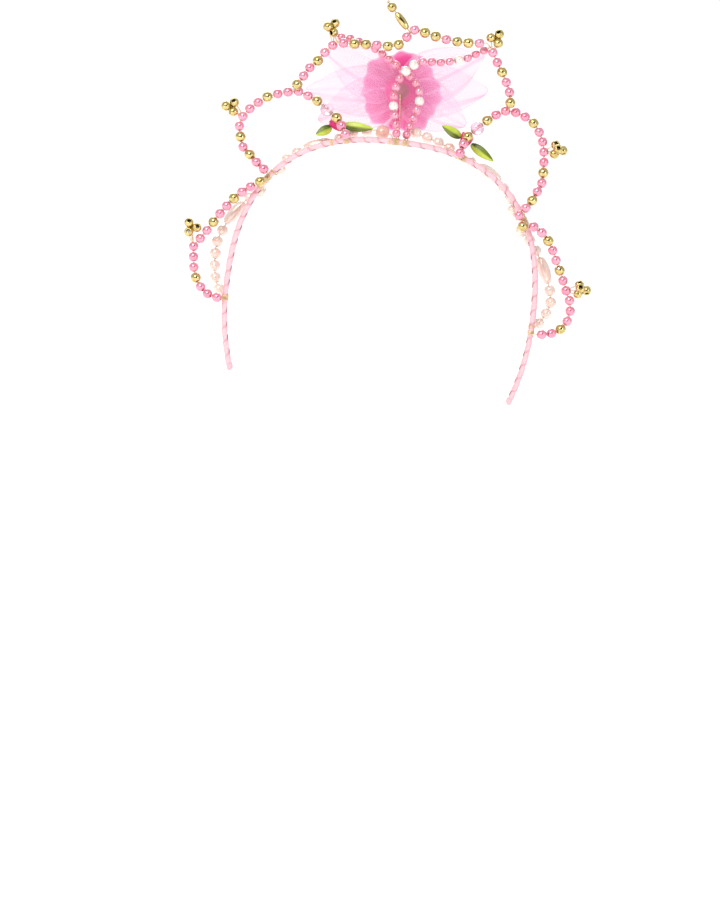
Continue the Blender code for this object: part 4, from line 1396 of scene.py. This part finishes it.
@dataclass
class Flower:
    """An organza flower: six long petals and four at the heart, sewn to a felt disc with a rolled bud."""

    middle: tuple[float, float] = (2.5, 27.0)
    back_y: float = -10.8
    disc_d: float = 16.0
    disc_thick: float = 1.0
    clear: float = 0.3
    petal_thick: float = 0.45
    step: float = 1.1
    root_r: float = 2.8
    outer_cup: tuple[float, float] = (7.0, 48.0)
    inner_cup: tuple[float, float] = (10.0, 20.0)
    inner_forward: float = 1.4
    reach: float = 50.0  # the distance that from_heart calls 1
    seam: float = 1.1  # width of the heat-sealed edge
    heart_spread: float = math.radians(64)  # half of a heart petal's angle, as a fan
    # angle from the wearer's left, length, width and layer
    outer: tuple[tuple[float, float, float, int], ...] = (
        (22.0, 42.0, 27.0, 0), (-6.0, 48.0, 26.0, 1), (-26.0, 44.0, 26.0, 2),
        (200.0, 37.0, 26.0, 0), (149.0, 46.0, 28.0, 1), (172.0, 44.0, 27.0, 2))
    inner: tuple[tuple[float, float, float, int], ...] = (
        (50.0, 21.0, 24.0, 0), (135.0, 20.0, 23.0, 1), (230.0, 21.0, 24.0, 0), (315.0, 20.0, 23.0, 1))

    def petal(self, name: str, shape: tuple[float, float, float, int], start_y: float,
              cup: tuple[float, float],
              finish: Finish) -> bpy.types.Object:
        """Cut, gather and crease a petal.

        Args:
            name: The petal's node.
            shape: Its angle, length, width and layer.
            start_y: World Y of the lowest layer at the heart.
            cup: How deep the bowl is that the petal lies on, and at which distance.
            finish: What it is finished in.

        Returns:
            The piece.
        """
        angle, length, width, layer = shape
        turn = math.radians(angle)
        out = Vector((math.cos(turn), 0, math.sin(turn)))
        across = Vector((-math.sin(turn), 0, math.cos(turn)))
        heart = Vector((self.middle[0], 0.0, self.middle[1]))
        rng = random.Random(name)
        phase, pleats = rng.uniform(0, 6.28), rng.uniform(2.2, 3.4)
        long_folds = [
            (rng.uniform(-0.75, 0.75), rng.uniform(-0.25, 0.25), rng.uniform(0.4, 1.0)) for _ in range(4)]

        def half_width(u: float) -> float:
            return width / 2 * math.sin(math.pi * min(0.94, 0.1 + 0.84 * u**0.75)) ** 0.7

        def place(u: float, v01: float) -> Vector:
            v = 2 * v01 - 1
            reach = self.root_r + (length - self.root_r) * u - 0.1 * length * u * v * v
            if finish is Finish.HEART:
                spread = self.heart_spread * v * (0.55 + 0.45 * u)
                ragged = 1 + 0.05 * u * math.sin(7 * v + phase) + 0.03 * u * math.sin(17 * v + 2 * phase)
                spot = (out * math.cos(spread) + across * math.sin(spread)) * reach * ragged
            else:
                spot = out * reach + across * half_width(u) * v
            far = spot.length / cup[1]
            about = math.atan2(spot.z, spot.x)
            shared = 0.9 * min(1.0, far) ** 1.6 * math.sin(5 * about + spot.length / 7)
            own = 0.3 * math.sin(pleats * math.pi * v + phase) * (0.35 + 0.65 * u)
            curl = 0.35 * abs(v) ** 5 * math.sin(9 * u + phase)
            depth = cup[0] * far**1.4 + shared + own + curl
            return heart + spot + Vector((0.0, start_y - layer * self.step - depth, 0.0))

        def from_heart(u: float, v01: float, point: Vector) -> float:
            return math.hypot(point.x - heart.x, point.z - heart.z) / self.reach

        def fold_and_shading(u: float, v01: float, point: Vector) -> float:
            v = 2 * v01 - 1
            gathers = max(0.0, math.sin(9 * math.pi * v + phase)) ** 4 * max(0.0, 1 - u * 1.6)
            lines = sum(strength * math.exp(-(((v - at - lean * u) * half_width(u)) / 0.7) ** 2)
                        for at, lean, strength in long_folds)
            return min(1.0, 0.7 * gathers + 0.55 * lines * (0.3 + 0.7 * u))

        def rim(u: float, v01: float, point: Vector) -> float:
            v = abs(2 * v01 - 1)
            inwards = min((1 - v) * half_width(u), (1 - u) * length)
            return max(0.0, 1 - inwards / self.seam) ** 0.6 * min(1.0, 4 * u)

        mesh = cloth(name, (48, 36), place, (length, width),
                     {"from_heart": from_heart, "fold_and_shading": fold_and_shading, "rim": rim})
        piece = add_piece(name + "_organza", mesh, finish)
        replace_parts(piece, name)
        return piece

    def backing(self) -> bpy.types.Object:
        """Punch the felt disc that everything is sewn to."""
        bm = bmesh.new()
        bmesh.ops.create_cone(bm, cap_ends=True, segments=40, radius1=self.disc_d / 2 * MM,
                              radius2=self.disc_d / 2 * MM, depth=self.disc_thick * MM)
        caps = [face for face in bm.faces if len(face.verts) > 4]
        for _ in range(3):
            caps = bmesh.ops.inset_region(bm, faces=caps, thickness=self.disc_d / 9 * MM)["faces"] and [
                face for face in bm.faces if len(face.verts) > 4]
        edges = [edge for edge in bm.edges if edge.calc_face_angle(0.0) > 1.0]
        bmesh.ops.bevel(bm, geom=edges, offset=0.3 * MM, offset_type="OFFSET", segments=2, profile=0.5,
                        affect="EDGES", material=-1)
        for vert in bm.verts:
            vert.co += vert.co.normalized() * 0.12 * MM * noise.noise(vert.co * 900)
        middle = Vector((self.middle[0], self.back_y, self.middle[1]))
        bmesh.ops.transform(bm, matrix=Matrix.Translation(middle * MM) @ Matrix.Rotation(math.pi / 2, 4, "X"),
                            verts=bm.verts)
        piece = add_piece("felt_disc", mesh_of(bm, "felt_disc"), Finish.FELT)
        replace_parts(piece, "flower_backing")
        return piece

    def build(self) -> None:
        """Sew the flower."""
        self.backing()
        outer_y = self.back_y - self.disc_thick / 2 - self.clear - self.petal_thick / 2
        for i, shape in enumerate(self.outer, 1):
            self.petal(f"outer_petal_{i}", shape, outer_y, self.outer_cup, Finish.PETAL)
        layers = 1 + max(shape[3] for shape in self.outer)
        inner_y = outer_y - (layers - 1) * self.step - self.inner_forward
        for i, shape in enumerate(self.inner, 1):
            self.petal(f"inner_petal_{i}", shape, inner_y, self.inner_cup, Finish.HEART)
        foot = Vector((self.middle[0], inner_y - 1.2, self.middle[1]))
        matrix = Matrix.Translation(foot) @ Matrix.Rotation(math.pi / 2, 4, "X")
        RolledRibbon(5.0, 9.6, 3.4, 0.12).build("rolled_bud", matrix, Finish.HEART, "flower_bud")
        self.stem()

    def stem(self) -> None:
        """Twist a pair of wires from the band to the disc."""
        route = smooth_line([BAND.at(*place)[0] for place in (
            (0.8, 0.2, -(BAND.half_w + 0.9)), (0.8, 6.0, -7.2), (1.6, 15.0, -8.6),
            (2.4, 24.0, self.back_y + self.disc_thick / 2 + 0.9))], 10)
        for word, start in (("first", 0.0), ("second", math.pi)):
            points = []
            steps = 90
            for i in range(steps + 1):
                spot, way = route.at(route.length * i / steps)
                turn = start + route.length * i / steps * 1.9
                across = way.cross(Vector((1, 0, 0))).normalized()
                points.append(spot + (across * math.cos(turn) + way.cross(across) * math.sin(turn)) * 0.17)
            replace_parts(wire(f"flower_wire_{word}", points, 0.17), "flower_wire")


@dataclass
class Roses:
    """Two ribbon rosebuds on wire stalks, each with two folded satin leaves."""

    diameter: float = 7.2
    stalk_clear: float = 0.9
    stalk_y: float = -2.2
    leaf_width: float = 4.8
    leaf_thick: float = 1.3
    half_shade: float = 0.62  # how dark the painted shade on a leaf's far half is
    half_edge: float = 14.0  # how sharply the halves part at the crease
    feet: dict[str, float] = field(default_factory=lambda: {"left": 26.4, "right": -30.6})
    middles: dict[str, BandPlace] = field(default_factory=lambda: {
        "left": (30.1, 8.4, -4.4), "right": (-30.9, 8.8, -4.6)})
    leaves: dict[str, tuple[str, BandPlace]] = field(default_factory=lambda: {
        "leaf_outer_left": ("left", (40.4, 5.8, -1.6)),
        "leaf_inner_left": ("left", (13.3, 5.5, -2.0)),
        "leaf_inner_right": ("right", (-18.6, 12.0, -1.2)),
        "leaf_outer_right": ("right", (-46.0, 6.4, -1.6)),
    })

    def leaf(self, name: str, start: Vector, end: Vector) -> bpy.types.Object:
        """Fold a ribbon round to a leaf: its edges meet behind, and it is pinched at both ends.

        Args:
            name: The leaf's node.
            start: Its foot.
            end: Its point.

        Returns:
            The piece.
        """
        length = (end - start).normalized()
        depth = (Vector((0, 1, 0)) - length * length.y).normalized()
        side = depth.cross(length)
        long = (end - start).length
        lit = 1 if name.endswith("left") else -1  # which half faces the light

        def place(u: float, v: float) -> Vector:
            turn = (v - 0.5) * 1.86 * math.pi
            swell = math.sin(math.pi * min(1.0, 0.06 + 0.94 * u ** 0.8)) ** 0.75
            half = self.leaf_width / 2 * swell
            crest = 0.8 * math.exp(-(turn / 0.35) ** 2) * swell  # the crease down the middle
            deep = (self.leaf_thick / 2 * math.cos(turn) + 0.35 * crest) * (0.4 + 0.6 * swell)
            bow = 0.7 * math.sin(math.pi * u)
            return start + length * long * u + side * half * math.sin(turn) + depth * (deep + bow * 0.4)

        # painted shade: the half turned from the light, the edges where the ribbon turns behind, and the foot
        # by the rosebud
        def under(u: float, v: float, point: Vector) -> float:
            turn = (v - 0.5) * 1.86 * math.pi
            shaded_half = self.half_shade / (1 + math.exp(lit * turn * self.half_edge))
            return min(1.0, shaded_half + max(0.0, abs(turn) - 1.3) * 0.8 + 0.3 * (1 - u) ** 3)

        mesh = cloth(name, (22, 28), place, (long, 2 * self.leaf_width), {"fold_and_shading": under})
        piece = thickened(add_piece(name + "_satin", mesh, Finish.LEAF_SATIN), 0.12)
        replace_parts(piece, name)
        return piece

    def build(self) -> None:
        """Roll the rosebuds and fold their leaves."""
        radius = self.diameter / 2
        for word, place in self.middles.items():
            middle = BAND.at(*place)[0]
            foot = BAND.at(self.feet[word], BAND.half_t + BINDING_WALL + self.stalk_clear, self.stalk_y)[0]
            way = (middle - foot).normalized()
            base = middle - way * radius
            matrix = Matrix.Translation(base) @ way.to_track_quat("Z", "Y").to_matrix().to_4x4()
            bud = RolledRibbon(radius * 0.98, self.diameter, 3.3, 0.1)
            bud.build(f"rolled_rosebud_{word}", matrix, Finish.ROSE_SATIN, f"rosebud_{word}")
            stalk = [foot - way * 1.4, foot, middle - way * radius * 0.2]
            wire(f"rosebud_stalk_{word}", stalk, 0.5)
        for name, (word, point) in self.leaves.items():
            rose, end = BAND.at(*self.middles[word])[0], BAND.at(*point)[0]
            start = rose + (end - rose).normalized() * (radius - 0.4)
            self.leaf(name, start, end)


# --- Studio ------------------------------------------------------------------------------------------


@dataclass
class Studio:
    """A pale seamless sweep, soft lights and a camera behind the wearer, tilted with their head."""

    roll: float = 7.1
    aim: tuple[float, float, float] = (0.5, 0.0, -153.5)
    frame_height: float = 450.0
    distance: float = 1900.0
    eye_height: float = -30.0
    sensor: float = 36.0
    sweep_glow: float = 0.36  # stands for the lights behind that wash it out

    def camera(self) -> None:
        """Set the camera."""
        data = bpy.data.cameras.new("camera")
        data.sensor_width = self.sensor
        data.lens = self.sensor * self.distance / self.frame_height
        data.clip_end = 30.0
        camera = bpy.data.objects.new("camera", data)
        aim, eye = Vector(self.aim) * MM, Vector((self.aim[0], self.distance, self.eye_height)) * MM
        back = (eye - aim).normalized()
        roll = math.radians(self.roll)
        right = Vector((math.sin(roll), 0.0, math.cos(roll))).cross(back).normalized()
        up = back.cross(right)
        camera.matrix_world = Matrix.Translation(eye) @ Matrix((right, up, back)).transposed().to_4x4()
        bpy.context.scene.collection.objects.link(camera)
        bpy.context.scene.camera = camera

    def sweep(self) -> None:
        """Lay the floor and bring it up behind in one curve."""
        bm = bmesh.new()
        floor, back, bend, high, wide = CAD_BOX[0][2], -3.2, 1.2, 4.0, 8.0
        profile = [(3.5, floor)]
        for i in range(17):
            turn = math.pi / 2 * i / 16
            profile.append((back - bend * math.sin(turn), floor + bend * (1 - math.cos(turn))))
        profile.append((back - bend, high))
        verts = [bm.verts.new((-wide / 2, y, z)) for y, z in profile]
        edges = [bm.edges.new(pair) for pair in zip(verts, verts[1:])]
        made = bmesh.ops.extrude_edge_only(bm, edges=edges)["geom"]
        moved = [part for part in made if isinstance(part, bmesh.types.BMVert)]
        bmesh.ops.translate(bm, vec=(wide, 0, 0), verts=moved)
        material, _, _ = start_material("painted_sweep", {
            "Base Color": linear("F4F3F3"), "Roughness": 0.9, "Emission Color": linear("FFFFFF"),
            "Emission Strength": self.sweep_glow})
        sweep = bpy.data.objects.new("sweep", mesh_of(bm, "sweep"))
        sweep.data.materials.append(material)
        bpy.context.scene.collection.objects.link(sweep)

    def flag(self) -> None:
        """Stand a black flag behind the camera that only reflections show, to give gold and gloss depth."""
        bm = bmesh.new()
        bmesh.ops.create_grid(bm, x_segments=1, y_segments=1, size=1.6)
        turn = Matrix.Translation((0.0, 2.4, 0.2)) @ Matrix.Rotation(math.pi / 2, 4, "X")
        bmesh.ops.transform(bm, matrix=turn, verts=bm.verts)
        material, _, _ = start_material("black_flag", {"Base Color": linear("3A3630"), "Roughness": 1.0})
        flag = bpy.data.objects.new("flag", mesh_of(bm, "flag"))
        flag.data.materials.append(material)
        flag.visible_camera = flag.visible_diffuse = flag.visible_shadow = flag.visible_transmission = False
        bpy.context.scene.collection.objects.link(flag)

    def light(self, name: str, spot: tuple[float, float, float], size: float, watts: float,
              colour: str) -> None:
        """Hang a soft box that faces the crown.

        Args:
            name: The lamp's name.
            spot: Its place in metres.
            size: Its side in metres.
            watts: Its power.
            colour: Its sRGB colour.
        """
        data = bpy.data.lights.new(name, "AREA")
        data.shape, data.size, data.energy = "SQUARE", size, watts
        data.color = linear(colour)[:3]
        lamp = bpy.data.objects.new(name, data)
        way = Vector((0.0, 0.0, -0.03)) - Vector(spot)
        aim = way.to_track_quat("-Z", "Y").to_matrix().to_4x4()
        lamp.matrix_world = Matrix.Translation(Vector(spot)) @ aim
        bpy.context.scene.collection.objects.link(lamp)

    def build(self) -> None:
        """Set up the studio."""
        self.camera()
        self.sweep()
        self.flag()
        self.light("key", (0.6, 1.35, 0.95), 1.0, 15.0, "FFFBF6")
        self.light("fill", (-1.0, 1.0, 0.2), 0.5, 2.4, "F2F5FF")
        self.light("front", (0.2, -1.3, 0.9), 0.8, 7.0, "FFFFFF")
        world = bpy.data.worlds.new("studio")
        world.use_nodes = True
        world.node_tree.nodes["Background"].inputs["Color"].default_value = linear("F1F2F5")
        world.node_tree.nodes["Background"].inputs["Strength"].default_value = 0.72
        bpy.context.scene.world = world
        bpy.context.scene.view_settings.view_transform = "Standard"


def main() -> None:
    """Build the crown's looks, then the studio round it."""
    logging.basicConfig(level=logging.INFO, format="%(message)s")
    RibbonWrap().build()
    Bindings().build()
    strands = routes()
    by_name = {strand.name: strand for strand in strands}
    for strand in strands:
        strand.build()
    WireEnds(strands).build()
    GoldTips(by_name).build()
    LooseBeads(by_name).build()
    Finial(by_name["top_chain"]).build()
    Flower().build()
    Roses().build()
    Studio().build()


if __name__ == "__main__":
    main()
